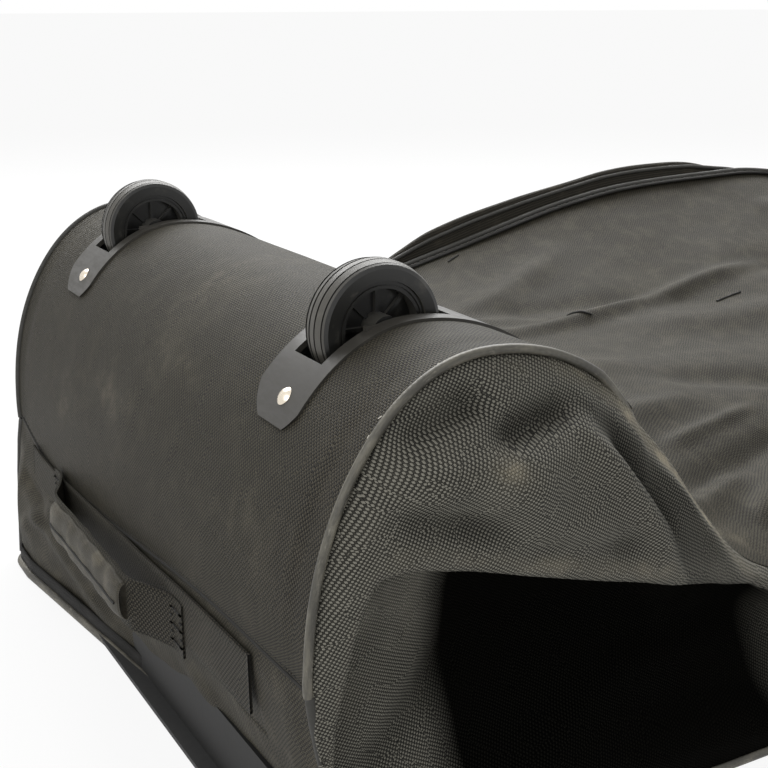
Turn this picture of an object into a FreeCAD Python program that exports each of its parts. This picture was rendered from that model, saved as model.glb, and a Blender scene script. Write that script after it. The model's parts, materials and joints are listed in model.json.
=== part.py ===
"""Wheeled ball bag, lying on its opening face with the wheels on top.

Frame, in millimetres: +X runs along the bag from the wheel end to the pull end, +Y is
the bag's left, +Z is up. The origin is on the ground under the middle of the bag.
"""
import math
import os

import FreeCAD
import Part

V = FreeCAD.Vector

# ---- driving dimensions -------------------------------------------------------------
HALF_LENGTH = 425.0      # middle to the outer face of either end
HALF_WIDTH = 250.0       # middle to the side seams
FABRIC = 3.0             # fabric with its foam and lining
GAP = 0.3                # between pieces that only touch
SEAM_BACK = 2.0          # how far a panel stops short of the side seam

ARCH_X = -328.0          # crown of the stiff wheel end
ARCH_Z = 130.0           # height of the ellipses' centre
ARCH_RISE = 144.0        # crown above that centre
ARCH_FRONT = 96.0        # half axis towards the wheel end
ARCH_BACK = 125.0        # half axis towards the pull end
ARCH_FOOT_Z = 118.0      # where the stiff end meets the handle band
ARCH_END_X = -240.0      # where the stiff end meets the soft back panel
LINER = 2.5              # moulded liner under the fabric

WHEEL_X, WHEEL_Y, WHEEL_Z = -340.0, 166.0, 270.0
WHEEL_R = 35.0
TYRE_WIDTH = 22.0
TREAD_GROOVES = (-8.1, -2.7, 2.7, 8.1)
RIM_SEAT_R = 25.0        # tyre bore
RIM_GROOVE_R = 23.0      # shallow groove in both faces of the rim's lip
RIM_LIP_R = 21.0         # inside of the rim's lip
RIM_WIDTH = 19.0
SPOKES = 8
SPOKE_INSET = 5.5        # spokes stand back from the rim's faces
HUB_R = 8.0
HUB_WIDTH = 28.0
AXLE_R = 3.0
AXLE_FIT = 0.06          # running clearance on the axle

FENDER = 3.2             # strap thickness
FENDER_HALF = 25.5       # half width beside the wheel
FENDER_WIDE_HALF = 28.0  # half width below the slot
FENDER_TIP_HALF = 13.5   # half width at the cut ends
FENDER_TIP_SHIFT = -5.0  # the ends and rivets sit to the right of the wheel's middle
FENDER_TIP_Z = 230.0     # height of the cut ends
FENDER_WIDE_Z = 249.0
FENDER_FULL_Z = 268.0
SLOT_HALF_X, SLOT_HALF_Y = 37.0, 15.0
CHEEK = 3.0              # wall that carries the axle
CHEEK_HALF_X = 14.0
CHEEK_DROP = 12.0        # cheek below the axle
HOLE_HALF_X, HOLE_HALF_Y = 41.0, 21.5
WELL_R = 40.0            # inside radius of the wheel well
WELL_WALL = 2.0
WELL_FLANGE = 9.0
RIVET_Z = 240.0
RIVET_HEAD_R, RIVET_HEAD_H, RIVET_R = 5.0, 2.2, 2.0

PIPING_R = 2.5
GROUND_PIPING_R = 3.0
BOARD = 3.0              # stiffener on the ground panel

WEBBING = 1.6
WEBBING_WIDTH = 32.0
HANDLE_TOP_Z = 112.0     # top edge of the webbing, which the handle folds about
HANDLE_HALF = 124.0      # middle to the sewn end of the loop
HANDLE_STAND = 15.0      # how far the loop stands off its band
HANDLE_Y = 12.0          # the loops are sewn a little left of the middle
BAND_HALF = 200.0        # middle to the end of the webbing band
GRIP_HALF, GRIP_THICK = 72.0, 12.0

DOOR_HINGE_Z = 52.0
ZIP_TOP_Z = 240.0        # the zip's level run
ZIP_TAPE = 9.0           # each half of the zip
DOOR_SLIT = 1.2          # between the two halves
SLIDER_X = 215.0
SLIDER_OFF = 0.7         # slider clear of the tape
TAB_LEAN = 6.0           # the tab lies this far off the fabric
TAB_LENGTH = 30.0

OUT = "parts"
os.makedirs(OUT, exist_ok=True)


# ---- helpers --------------------------------------------------------------------------
def save(name, *shapes):
    """Writes one node; several solids make a group in that node."""
    shape = shapes[0] if len(shapes) == 1 else Part.makeCompound(list(shapes))
    for solid in shape.Solids:
        if not solid.isValid() or solid.Volume <= 0:
            raise ValueError(f"{name} is not a valid solid")
    shape.exportStep(os.path.join(OUT, name + ".step"))


def box(x0, x1, y0, y1, z0, z1):
    return Part.makeBox(x1 - x0, y1 - y0, z1 - z0, V(x0, y0, z0))


def cylinder_y(radius, x, z, y0, y1):
    return Part.makeCylinder(radius, y1 - y0, V(x, y0, z), V(0, 1, 0))


def one(shape):
    """The single solid of a boolean's result."""
    solids = shape.removeSplitter().Solids
    if len(solids) != 1:
        raise ValueError(f"expected one solid, got {len(solids)}")
    return solids[0]


def prism(points, direction, bulge=None):
    """Closed outline of points pulled along direction; bulge bows the sides listed in it."""
    edges = []
    for k, a in enumerate(points):
        b = points[(k + 1) % len(points)]
        if bulge and k in bulge:
            edges.append(Part.Arc(a, (a + b) * 0.5 + bulge[k], b).toShape())
        else:
            edges.append(Part.LineSegment(a, b).toShape())
    return Part.Face(Part.Wire(edges)).extrude(direction)


def arch_point(angle, offset=0.0):
    """(x, z) on the wheel end's outline: 0 is the crown, +90 degrees its front."""
    a = (ARCH_FRONT if angle > 0 else ARCH_BACK) + offset
    return (ARCH_X - a * math.sin(math.radians(angle)),
            ARCH_Z + (ARCH_RISE + offset) * math.cos(math.radians(angle)))


def arch_x(z, side, offset=0.0):
    """Where the outline passes height z, on the front (-1) or back (+1) of the crown."""
    a = (ARCH_FRONT if side < 0 else ARCH_BACK) + offset
    return ARCH_X + side * a * math.sqrt(1 - ((z - ARCH_Z) / (ARCH_RISE + offset)) ** 2)


def arch_arc(offset, y, angle, side):
    """Elliptical edge from the crown down one side."""
    a, b = (ARCH_FRONT if side < 0 else ARCH_BACK) + offset, ARCH_RISE + offset
    centre, crown = V(ARCH_X, y, ARCH_Z), V(0, 0, 1)
    if a > b:
        raise ValueError("the crown has to be on the long axis")
    ellipse = Part.Ellipse(centre + crown * b, centre + V(side * a, 0, 0), centre)
    return ellipse.toShape(0, math.radians(angle))


ARCH_FOOT_ANGLE = math.degrees(math.acos((ARCH_FOOT_Z - ARCH_Z) / ARCH_RISE))
ARCH_END_ANGLE = math.degrees(math.asin((ARCH_END_X - ARCH_X) / ARCH_BACK))


def arch_sheet(outer, inner, half_width, y=0.0, front=None, back=None):
    """Curved sheet over the wheel end between two offsets of its outline."""
    front = ARCH_FOOT_ANGLE if front is None else front
    back = ARCH_END_ANGLE if back is None else back
    y0 = y - half_width
    edges = [arch_arc(offset, y0, angle, side)
             for offset in (outer, inner) for angle, side in ((front, -1), (back, 1))]
    out_f, out_b, in_f, in_b = edges
    caps = [Part.LineSegment(o.valueAt(o.LastParameter), i.valueAt(i.LastParameter)).toShape()
            for o, i in ((out_f, in_f), (out_b, in_b))]
    wire = Part.Wire(Part.__sortEdges__(edges + caps))
    return Part.Face(wire).extrude(V(0, 2 * half_width, 0))


def tube_along(points, radius):
    """Round tube on straight runs joined by tangent arcs."""
    edges, last = [], points[0]
    for before, at, after in zip(points, points[1:], points[2:]):
        u, w = (before - at), (after - at)
        shorter = min(u.Length, w.Length)
        u.normalize()
        w.normalize()
        setback = 0.45 * shorter
        turn = math.pi - u.getAngle(w)
        bend = setback / math.tan(turn / 2)
        middle = u + w
        middle.normalize()
        start, end = at + u * setback, at + w * setback
        centre = at + middle * math.hypot(setback, bend)
        edges.append(Part.LineSegment(last, start).toShape())
        edges.append(Part.Arc(start, centre - middle * bend, end).toShape())
        last = end
    edges.append(Part.LineSegment(last, points[-1]).toShape())
    path = Part.Wire(edges)
    tangent = points[1] - points[0]
    section = Part.Wire(Part.makeCircle(radius, points[0], tangent))
    tube = path.makePipeShell([section], True, False)
    expected = math.pi * radius ** 2 * path.Length
    if abs(tube.Volume / expected - 1) > 0.01:
        raise ValueError("the tube has lost volume")
    return tube.Solids[0]


def skin(grid, thickness):
    """Sheet whose outer face passes through a grid of points, thickened by a vector."""
    faces, outlines = [], []
    for shift in (V(0, 0, 0), thickness):
        surface = Part.BSplineSurface()
        surface.interpolate([[p + shift for p in row] for row in grid])
        face = surface.toShape()
        faces.append(face)
        corners = surface.bounds()
        outlines.append([surface.uIso(corners[0]), surface.uIso(corners[1]),
                         surface.vIso(corners[2]), surface.vIso(corners[3])])
    for a, b in zip(*outlines):
        faces.append(Part.makeRuledSurface(a.toShape(), b.toShape()))
    shell = Part.makeCompound(faces)
    shell.sewShape(0.01)
    solid = Part.Solid(shell.Shells[0])
    if solid.Volume < 0:
        solid.reverse()
    return solid


# ---- the soft body's lines ------------------------------------------------------------
# Side seam of the back panel behind the stiff end: x, height on the right, height on the
# left, and height on the centre line. The empty bag has slumped to its right.
SEAM = ((-240.0, 232.0, 232.0, 232.0), (-190.0, 182.0, 203.0, 212.0),
        (-130.0, 124.0, 190.0, 182.0), (-40.0, 98.0, 210.0, 170.0),
        (60.0, 92.0, 243.0, 170.0), (130.0, 94.0, 258.0, 172.0),
        (190.0, 98.0, 261.0, 176.0), (270.0, 118.0, 261.0, 184.0),
        (330.0, 138.0, 259.0, 192.0), (425.0, 172.0, 246.0, 212.0))
SEAM_STEP = 33.25        # spacing of the sections taken from those lines
GROUND_Z = 8.0           # lower edge of the side panels
BULGE = 45.0             # how far the slack sides stand out of the seams
# Share of that bulge, and of the height, from the ground seam up to the top seam.
SIDE_PROFILE = ((0.0, 0.0), (0.30, 0.28), (0.97, 0.58), (0.78, 0.84), (0.0, 1.0))


def seam_heights(x):
    """Right, left and centre-line height at x, smoothly through the lines above."""
    k = max(0, min(len(SEAM) - 2, sum(1 for row in SEAM if row[0] <= x) - 1))
    a, b = SEAM[k], SEAM[k + 1]
    before, after = SEAM[max(k - 1, 0)], SEAM[min(k + 2, len(SEAM) - 1)]
    width = b[0] - a[0]
    t = (x - a[0]) / width
    heights = []
    for j in (1, 2, 3):
        rise_a = (b[j] - before[j]) / (b[0] - before[0]) * width
        rise_b = (after[j] - a[j]) / (after[0] - a[0]) * width
        heights.append((2 * t ** 3 - 3 * t ** 2 + 1) * a[j] + (t ** 3 - 2 * t ** 2 + t) * rise_a
                       + (3 * t ** 2 - 2 * t ** 3) * b[j] + (t ** 3 - t ** 2) * rise_b)
    return heights


def seam_stations():
    count = round((HALF_LENGTH - ARCH_END_X) / SEAM_STEP)
    return [ARCH_END_X + (HALF_LENGTH - ARCH_END_X) * k / count for k in range(count + 1)]


def side_columns(side):
    """x, top height and bulge along one side, from the handle band to the pull end."""
    columns = [(ARCH_X - ARCH_FRONT - 6.0, ARCH_FOOT_Z, 0.1)]
    for angle, share in ((62.0, 0.3), (38.0, 0.58), (12.0, 0.82), (-20.0, 0.95)):
        x, z = arch_point(angle)
        columns.append((x, z, share))
    for x in seam_stations():
        right, left, _ = seam_heights(x)
        share = min(1.0, 0.1 + (HALF_LENGTH - x) / 90.0)
        columns.append((x, right if side < 0 else left, share))
    return columns


def side_sheet(side):
    grid = []
    for x, top, share in side_columns(side):
        height = top - GAP - GROUND_Z
        grid.append([V(x, side * (HALF_WIDTH + FABRIC + BULGE * share * out),
                       GROUND_Z + height * up) for out, up in SIDE_PROFILE])
    return skin(grid, V(0, -side * FABRIC, 0))


def outer_y(sheet, x, z):
    """Where the outer face of the left side stands at x and z."""
    line = Part.LineSegment(V(x, 400, z), V(x, 150, z)).toShape()
    return sheet.common(line).BoundBox.YMax


# ---- wheel end ------------------------------------------------------------------------
def wheel_holes(shape):
    for y in (-WHEEL_Y, WHEEL_Y):
        shape = shape.cut(box(WHEEL_X - HOLE_HALF_X, WHEEL_X + HOLE_HALF_X,
                              y - HOLE_HALF_Y, y + HOLE_HALF_Y, 200, 320))
    return shape


def rivet_places(y):
    """Surface point and outward normal at each end of a fender."""
    for side in (-1, 1):
        x = arch_x(RIVET_Z, side)
        a = ARCH_FRONT if side < 0 else ARCH_BACK
        normal = V((x - ARCH_X) / a ** 2, 0, (RIVET_Z - ARCH_Z) / ARCH_RISE ** 2)
        normal.normalize()
        yield V(x, y + FENDER_TIP_SHIFT, RIVET_Z), normal


def rivet_holes(shape):
    for y in (-WHEEL_Y, WHEEL_Y):
        for at, normal in rivet_places(y):
            shape = shape.cut(Part.makeCylinder(RIVET_R + GAP, 60, at - normal * 30, normal))
    return shape


def fender(y):
    """Strap over the arch with the wheel's slot and the two cheeks that carry the axle."""
    strap = arch_sheet(GAP + FENDER, GAP, FENDER_HALF, y, front=80, back=80)
    half, wide, tip = FENDER_HALF, FENDER_WIDE_HALF, FENDER_TIP_HALF
    low, full, top = FENDER_TIP_Z, FENDER_FULL_Z, FENDER_FULL_Z + 40
    x0 = ARCH_X - 150
    mid = y + FENDER_TIP_SHIFT
    right = [V(x0, y - half, top), V(x0, y - half, full), V(x0, y - wide, FENDER_WIDE_Z)]
    left = [V(x0, y + wide, FENDER_WIDE_Z), V(x0, y + half, full), V(x0, y + half, top)]
    outline = right + [V(x0, mid - tip, low), V(x0, mid + tip, low)] + left
    bow = {2: V(0, -2.0, -1.5), 4: V(0, 2.0, -1.5)}
    strap = strap.common(prism(outline, V(300, 0, 0), bow))
    strap = strap.cut(box(WHEEL_X - SLOT_HALF_X, WHEEL_X + SLOT_HALF_X,
                          y - SLOT_HALF_Y, y + SLOT_HALF_Y, 240, 320))
    for side in (-1, 1):
        inner = y + side * SLOT_HALF_Y
        outer = inner + side * CHEEK
        cheek = box(WHEEL_X - CHEEK_HALF_X, WHEEL_X + CHEEK_HALF_X, min(inner, outer),
                    max(inner, outer), WHEEL_Z - CHEEK_DROP, ARCH_Z + ARCH_RISE + 1.0)
        strap = strap.fuse(cheek)
    strap = strap.cut(cylinder_y(AXLE_R + 0.1, WHEEL_X, WHEEL_Z, y - 30, y + 30))
    for side in (-1, 1):
        face = y + side * (SLOT_HALF_Y + CHEEK)
        cap_room = cylinder_y(AXLE_R + 1.1, WHEEL_X, WHEEL_Z, min(face, face + side * 3),
                              max(face, face + side * 3))
        strap = strap.cut(cap_room)
    return one(rivet_holes(strap))


def well(y):
    """Cup under the slot, closed against the bag's inside, with a flange on the liner."""
    top = -(FABRIC + LINER + 2 * GAP)
    under = arch_sheet(top, top - 80, HOLE_HALF_Y + WELL_WALL, y, front=78, back=78)
    cup = cylinder_y(WELL_R + WELL_WALL, WHEEL_X, WHEEL_Z, y - HOLE_HALF_Y - WELL_WALL,
                     y + HOLE_HALF_Y + WELL_WALL).common(under)
    reach = HOLE_HALF_X + WELL_FLANGE
    flange = arch_sheet(top, top - WELL_WALL, HOLE_HALF_Y + WELL_FLANGE, y, 78, 78)
    flange = flange.common(box(WHEEL_X - reach, WHEEL_X + reach, y - 60, y + 60, 200, 320))
    cavity = cylinder_y(WELL_R, WHEEL_X, WHEEL_Z, y - HOLE_HALF_Y, y + HOLE_HALF_Y)
    cup = cup.fuse(flange).cut(cavity)
    for at, normal in rivet_places(y):
        cup = cup.cut(Part.makeCylinder(7.4, 25, at - normal * 25, normal))
    return one(cup)


def tyre(y):
    """Rubber tyre: crowned tread with four grooves, seated on the rim."""
    half, r = TYRE_WIDTH / 2, WHEEL_R
    bore = RIM_SEAT_R + GAP / 2

    def crown(offset):
        return r - 0.018 * offset ** 2

    points = [V(0, -half, bore), V(0, -half, r - 3.8), V(0, -half + 0.9, crown(half - 0.9))]
    for centre in TREAD_GROOVES:
        points += [V(0, centre - 0.7, crown(centre)), V(0, centre - 0.4, crown(centre) - 1.3),
                   V(0, centre + 0.4, crown(centre) - 1.3), V(0, centre + 0.7, crown(centre))]
    points += [V(0, half - 0.9, crown(half - 0.9)), V(0, half, r - 3.8), V(0, half, bore)]
    face = Part.Face(Part.makePolygon(points + [points[0]]))
    ring = face.revolve(V(0, 0, 0), V(0, 1, 0), 360)
    ring.translate(V(WHEEL_X, y, WHEEL_Z))
    return ring.Solids[0]


def rim(y):
    """Moulded rim: lip, thin web, spokes on both faces and a bored hub."""
    def disc(radius, width):
        return cylinder_y(radius, 0, 0, -width / 2, width / 2)
    body = disc(RIM_SEAT_R, RIM_WIDTH).cut(disc(RIM_LIP_R, RIM_WIDTH + 2))
    body = body.fuse(disc(RIM_LIP_R + 1, 3.0)).fuse(disc(HUB_R, HUB_WIDTH))
    for k in range(SPOKES):
        spoke = box(HUB_R - 2, RIM_LIP_R + 1, -RIM_WIDTH / 2 + SPOKE_INSET,
                    RIM_WIDTH / 2 - SPOKE_INSET, -1.0, 1.0)
        spoke.rotate(V(0, 0, 0), V(0, 1, 0), k * 360 / SPOKES)
        body = body.fuse(spoke)
    ring = disc(RIM_GROOVE_R + 0.4, RIM_WIDTH + 2).cut(disc(RIM_GROOVE_R - 0.4, RIM_WIDTH + 2))
    body = body.cut(ring.cut(disc(RIM_GROOVE_R + 1, RIM_WIDTH - 2)))
    body = body.cut(disc(AXLE_R + AXLE_FIT, HUB_WIDTH + 2))
    body.translate(V(WHEEL_X, y, WHEEL_Z))
    return one(body)


def axle(y):
    """Steel pin through both cheeks, with a pressed cap outside each."""
    reach = SLOT_HALF_Y + CHEEK + GAP
    pin = cylinder_y(AXLE_R, WHEEL_X, WHEEL_Z, y - reach - 1.5, y + reach + 1.5)
    for side in (-1, 1):
        start = y + side * reach
        cap = cylinder_y(AXLE_R + 0.8, WHEEL_X, WHEEL_Z, min(start, start + side * 2),
                         max(start, start + side * 2))
        pin = pin.fuse(cap)
    return one(pin)


def axle_washers(y):
    made = []
    for side in (-1, 1):
        a, b = y + side * (HUB_WIDTH / 2 + 0.15), y + side * (SLOT_HALF_Y - 0.1)
        ring = cylinder_y(5.5, WHEEL_X, WHEEL_Z, min(a, b), max(a, b))
        made.append(ring.cut(cylinder_y(AXLE_R + 0.05, WHEEL_X, WHEEL_Z, y - 30, y + 30)))
    return made


def rivet(at, normal):
    """Domed head on the fender, shank, and a tail on the washer inside."""
    under = GAP + FENDER + 0.05
    depth = FABRIC + LINER + 2 * GAP + 1.1
    rise = RIVET_HEAD_H
    ball = (RIVET_HEAD_R ** 2 + rise ** 2) / (2 * rise)
    head = Part.makeSphere(ball, V(0, 0, under + rise - ball))
    head = head.common(Part.makeCylinder(RIVET_HEAD_R + 1, rise + 1, V(0, 0, under)))
    shank = Part.makeCylinder(RIVET_R, under + depth + 0.5, V(0, 0, -depth))
    tail = Part.makeCylinder(RIVET_R + 1.2, 1.2, V(0, 0, -depth - 1.2))
    made = one(head.fuse(shank).fuse(tail))
    turn = FreeCAD.Rotation(V(0, 0, 1), normal)
    made.Placement = FreeCAD.Placement(at, turn)
    return made


def rivet_washer(at, normal):
    depth = FABRIC + LINER + 2 * GAP + 0.1
    ring = Part.makeCylinder(6.5, 0.9, V(0, 0, -depth - 0.95))
    ring = ring.cut(Part.makeCylinder(RIVET_R + 0.1, 4, V(0, 0, -depth - 2)))
    ring.Placement = FreeCAD.Placement(at, FreeCAD.Rotation(V(0, 0, 1), normal))
    return ring


def make_wheel_end():
    panel = arch_sheet(0, -FABRIC, HALF_WIDTH - SEAM_BACK)
    save("wheel_end_panel", one(rivet_holes(wheel_holes(panel))))
    liner = arch_sheet(-FABRIC - GAP, -FABRIC - GAP - LINER, HALF_WIDTH - 8)
    save("wheel_end_liner", one(rivet_holes(wheel_holes(liner))))
    for name, y in (("right", -WHEEL_Y), ("left", WHEEL_Y)):
        save("wheel_fender_" + name, fender(y))
        save("wheel_well_" + name, well(y))
        save("wheel_tyre_" + name, tyre(y))
        save("wheel_rim_" + name, rim(y))
        save("axle_" + name, axle(y))
        save("axle_washers_" + name, *axle_washers(y))
        save("fender_rivets_" + name, *[rivet(*place) for place in rivet_places(y)])
        save("rivet_washers_" + name, *[rivet_washer(*place) for place in rivet_places(y)])


# ---- handles --------------------------------------------------------------------------
def handle(end, name):
    """Webbing loop with a padded grip; end is -1 at the wheels and +1 at the pull end."""
    face = end * (HALF_LENGTH + (1.2 if end < 0 else FABRIC))
    band = box(min(face, face + end * WEBBING), max(face, face + end * WEBBING),
               -BAND_HALF, BAND_HALF, HANDLE_TOP_Z - WEBBING_WIDTH + 2, HANDLE_TOP_Z + 4)
    save(name + "_handle_band", band)
    inner = face + end * (WEBBING + GAP)
    low = HANDLE_TOP_Z - WEBBING_WIDTH
    near, far = inner, inner + end * HANDLE_STAND
    rise = 22.0
    t = end * WEBBING
    sewn, foot = HANDLE_HALF, HANDLE_HALF - 12.0
    outer = [V(near + t, -sewn, low), V(near + t, -foot, low), V(far + t, rise - foot, low),
             V(far + t, foot - rise, low), V(near + t, foot, low), V(near + t, sewn, low)]
    inside = [V(p.x - t, p.y, p.z) for p in reversed(outer)]
    loop = prism(outer + inside, V(0, 0, WEBBING_WIDTH))
    loop.translate(V(0, HANDLE_Y, 0))
    save(name + "_handle_webbing", loop)
    middle = far + t / 2
    grip = box(middle - GRIP_THICK / 2, middle + GRIP_THICK / 2, -GRIP_HALF, GRIP_HALF,
               low - 2, HANDLE_TOP_Z + 2)
    grip = grip.makeFillet(4.5, [e for e in grip.Edges if abs(e.tangentAt(0).y) > 0.9])
    core = box(middle - WEBBING / 2 - 0.05, middle + WEBBING / 2 + 0.05, -GRIP_HALF - 1,
               GRIP_HALF + 1, low - 0.05, HANDLE_TOP_Z + 0.05)
    grip = one(grip.cut(core))
    grip.translate(V(0, HANDLE_Y, 0))
    save(name + "_handle_grip", grip)


# ---- soft body ------------------------------------------------------------------------
def back_height(x, share):
    """Height of the back panel; share runs from -1 at the right seam to +1 at the left."""
    right, left, middle = seam_heights(x)
    edge = right if share < 0 else left
    return middle + (edge - middle) * share * share


def back_panel():
    """Slumped sheet from the stiff end to the pull end."""
    half = HALF_WIDTH - SEAM_BACK
    grid = []
    for k, x in enumerate(seam_stations()):
        row = [V(x + (1.0 if k == 0 else 0.0), share * half, back_height(x, share))
               for share in (-1.0, -0.5, 0.0, 0.5, 1.0)]
        grid.append(row)
    return skin(grid, V(0, 0, -FABRIC))


def pull_end_panel():
    x0, half = HALF_LENGTH + GAP, HALF_WIDTH - SEAM_BACK
    top = [V(x0, share * half, back_height(HALF_LENGTH, share))
           for share in (-1.0, -0.5, 0.0, 0.5, 1.0)]
    curve = Part.BSplineCurve()
    curve.interpolate(top)
    low_r, low_l = V(x0, -half, GROUND_Z), V(x0, half, GROUND_Z)
    edges = [curve.toShape(), Part.LineSegment(top[-1], low_l).toShape(),
             Part.LineSegment(low_l, low_r).toShape(), Part.LineSegment(low_r, top[0]).toShape()]
    return Part.Face(Part.Wire(edges)).extrude(V(FABRIC - GAP, 0, 0))


def door_outline(grow):
    """The door's edge seen from the side, from its hinge up and over, grown by a margin."""
    left, right, low = -112.0 - grow, 345.0 + grow, DOOR_HINGE_Z
    top = ZIP_TOP_Z + grow
    points = [V(left, 0, low), V(left, 0, 138.0 + grow * 0.6), V(60.0 - grow * 0.2, 0, top - 18.0),
              V(105.0, 0, top), V(300.0, 0, top), V(right, 0, top - 50), V(right, 0, low)]
    return [V(p.x, 150, p.z) for p in points]


def door_block(grow):
    return prism(door_outline(grow), V(0, 200, 0))


def make_left_side():
    sheet = side_sheet(1)
    outer = door_block(ZIP_TAPE + DOOR_SLIT)
    save("side_panel_left", one(sheet.cut(outer)))
    fixed = door_block(ZIP_TAPE + DOOR_SLIT - GAP).cut(door_block(DOOR_SLIT))
    save("panel_zip_tape", one(sheet.common(fixed)))
    low_cut = box(-400, 500, 100, 400, 0, DOOR_HINGE_Z + 0.6)
    moving = door_block(0).cut(door_block(-ZIP_TAPE)).cut(low_cut)
    save("door_zip_tape", one(sheet.common(moving)))
    leaf = door_block(-ZIP_TAPE - GAP).cut(low_cut)
    save("side_door", one(sheet.common(leaf)))


def ground_outline():
    front, back, half = HALF_LENGTH + 12.0, HALF_LENGTH + 3.0, HALF_WIDTH
    return front, back, half


def make_ground():
    front, back, half = ground_outline()
    panel = box(-front, back, -half, half, 0, FABRIC)
    panel = panel.makeFillet(18, [e for e in panel.Edges if abs(e.tangentAt(0).z) > 0.9])
    save("ground_panel", panel)
    board = box(-front + 14, back - 8, -half + 10, half - 10, FABRIC + GAP, FABRIC + GAP + BOARD)
    board = board.makeFillet(14, [e for e in board.Edges if abs(e.tangentAt(0).z) > 0.9])
    save("base_board", board)
    r = GROUND_PIPING_R
    x0, x1, y1 = -front - r - GAP, back + r + GAP, half + r + GAP
    path = []
    corner = 18.0 + r
    for cx, cy, a0 in ((x1 - corner, y1 - corner, 0), (x0 + corner, y1 - corner, 90),
                       (x0 + corner, -y1 + corner, 180), (x1 - corner, -y1 + corner, 270)):
        a, m, b = (math.radians(a0 + d) for d in (0, 45, 90))
        start, middle, end = (V(cx + corner * math.cos(t), cy + corner * math.sin(t), r)
                              for t in (a, m, b))
        if path:
            path.append(Part.LineSegment(path[-1].valueAt(path[-1].LastParameter), start).toShape())
        path.append(Part.Arc(start, middle, end).toShape())
    path.append(Part.LineSegment(path[-1].valueAt(path[-1].LastParameter),
                                 path[0].valueAt(path[0].FirstParameter)).toShape())
    wire = Part.Wire(path)
    start = path[0].valueAt(path[0].FirstParameter)
    section = Part.Wire(Part.makeCircle(r, start, V(0, 1, 0)))
    save("ground_piping", wire.makePipeShell([section], True, False).Solids[0])


def make_seams():
    lift = PIPING_R + 2.9
    for name, side in (("right", -1), ("left", 1)):
        y = side * (HALF_WIDTH + 0.5)
        points = []
        for angle in range(94, -34, -8):
            x, z = arch_point(float(angle), lift)
            points.append(V(x, y, z))
        for x in seam_stations()[1:]:
            right, left, _ = seam_heights(x)
            points.append(V(x, y, (right if side < 0 else left) + lift))
        save("piping_" + name, one(tube_along(points, PIPING_R).cut(side_sheet(side))))


def make_soft_body():
    save("back_panel", back_panel())
    save("side_panel_right", side_sheet(-1))
    make_left_side()
    save("pull_end_panel", pull_end_panel())
    make_ground()
    make_seams()
    foot = ARCH_X - ARCH_FRONT
    half = HALF_WIDTH - SEAM_BACK
    low, top = foot - 7.0, foot + 0.5
    outline = [V(low, -half, GROUND_Z), V(low + FABRIC, -half, GROUND_Z),
               V(top + FABRIC, -half, ARCH_FOOT_Z - GAP - 1), V(top, -half, ARCH_FOOT_Z - GAP - 1)]
    save("handle_end_gusset", prism(outline, V(0, 2 * half, 0)))


# ---- inside ---------------------------------------------------------------------------
def make_cradle():
    """Foam bars and a divider that keep two balls side by side at the wheel end."""
    floor = FABRIC + 2 * GAP + BOARD
    half = 205.0
    front = -HALF_LENGTH + 12.0
    for name, x, lean in (("cradle_front_bar", front, 1), ("cradle_rear_bar", -195.0, -1)):
        outline = [V(x, -half, floor), V(x + lean * 48, -half, floor),
                   V(x + lean * 12, -half, floor + 40), V(x, -half, floor + 40)]
        save(name, prism(outline, V(0, 2 * half, 0)))
    save("cradle_divider", box(front + 49, -195.0 - 49, -6, 6, floor, floor + 150))


# ---- zip ------------------------------------------------------------------------------
def make_slider():
    """Slider flat on the zip's level run, with the tab that lies below it."""
    z = ZIP_TOP_Z + DOOR_SLIT / 2
    sheet = side_sheet(1)
    y = outer_y(sheet, SLIDER_X, z)
    slope = math.atan2(outer_y(sheet, SLIDER_X, z - 5) - outer_y(sheet, SLIDER_X, z + 5), 10)
    body = box(-7, 7, SLIDER_OFF, SLIDER_OFF + 3.0, -4.5, 4.5)
    body = body.makeFillet(1.2, [e for e in body.Edges if abs(e.tangentAt(0).y) > 0.9])
    pivot = SLIDER_OFF + 5.0
    bridge = cylinder_y(2.2, 0, 0, SLIDER_OFF + 2.8, pivot + 1.7)
    bridge = bridge.cut(Part.makeCylinder(1.06, 20, V(-10, pivot, 0), V(1, 0, 0)))
    slider = one(body.fuse(bridge))
    pin = Part.makeCylinder(1.0, 8, V(-4, pivot, 0), V(1, 0, 0))
    arms = [box(s - 0.8, s + 0.8, pivot - 0.7, pivot + 0.7, -8, 1.0) for s in (-3.4, 3.4)]
    leaf = box(-4.2, 4.2, pivot - 0.7, pivot + 0.7, -TAB_LENGTH, -7)
    tab = one(pin.fuse(arms[0]).fuse(arms[1]).fuse(leaf))
    tab.rotate(V(0, pivot, 0), V(1, 0, 0), TAB_LEAN)
    for shape in (slider, tab):
        shape.rotate(V(0, 0, 0), V(1, 0, 0), math.degrees(slope))
        shape.translate(V(SLIDER_X, y, z))
    save("zip_slider", slider)
    save("zip_pull_tab", tab)


make_wheel_end()
handle(-1, "wheel_end")
handle(1, "pull_end")
make_soft_body()
make_cradle()
make_slider()
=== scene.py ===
"""Looks for the wheeled bag: cloth, seams, handles, zip and finishes over the CAD frame."""
import json
import math
from types import SimpleNamespace

import bmesh
import bpy
import numpy as np
from mathutils import Matrix, Vector


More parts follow.
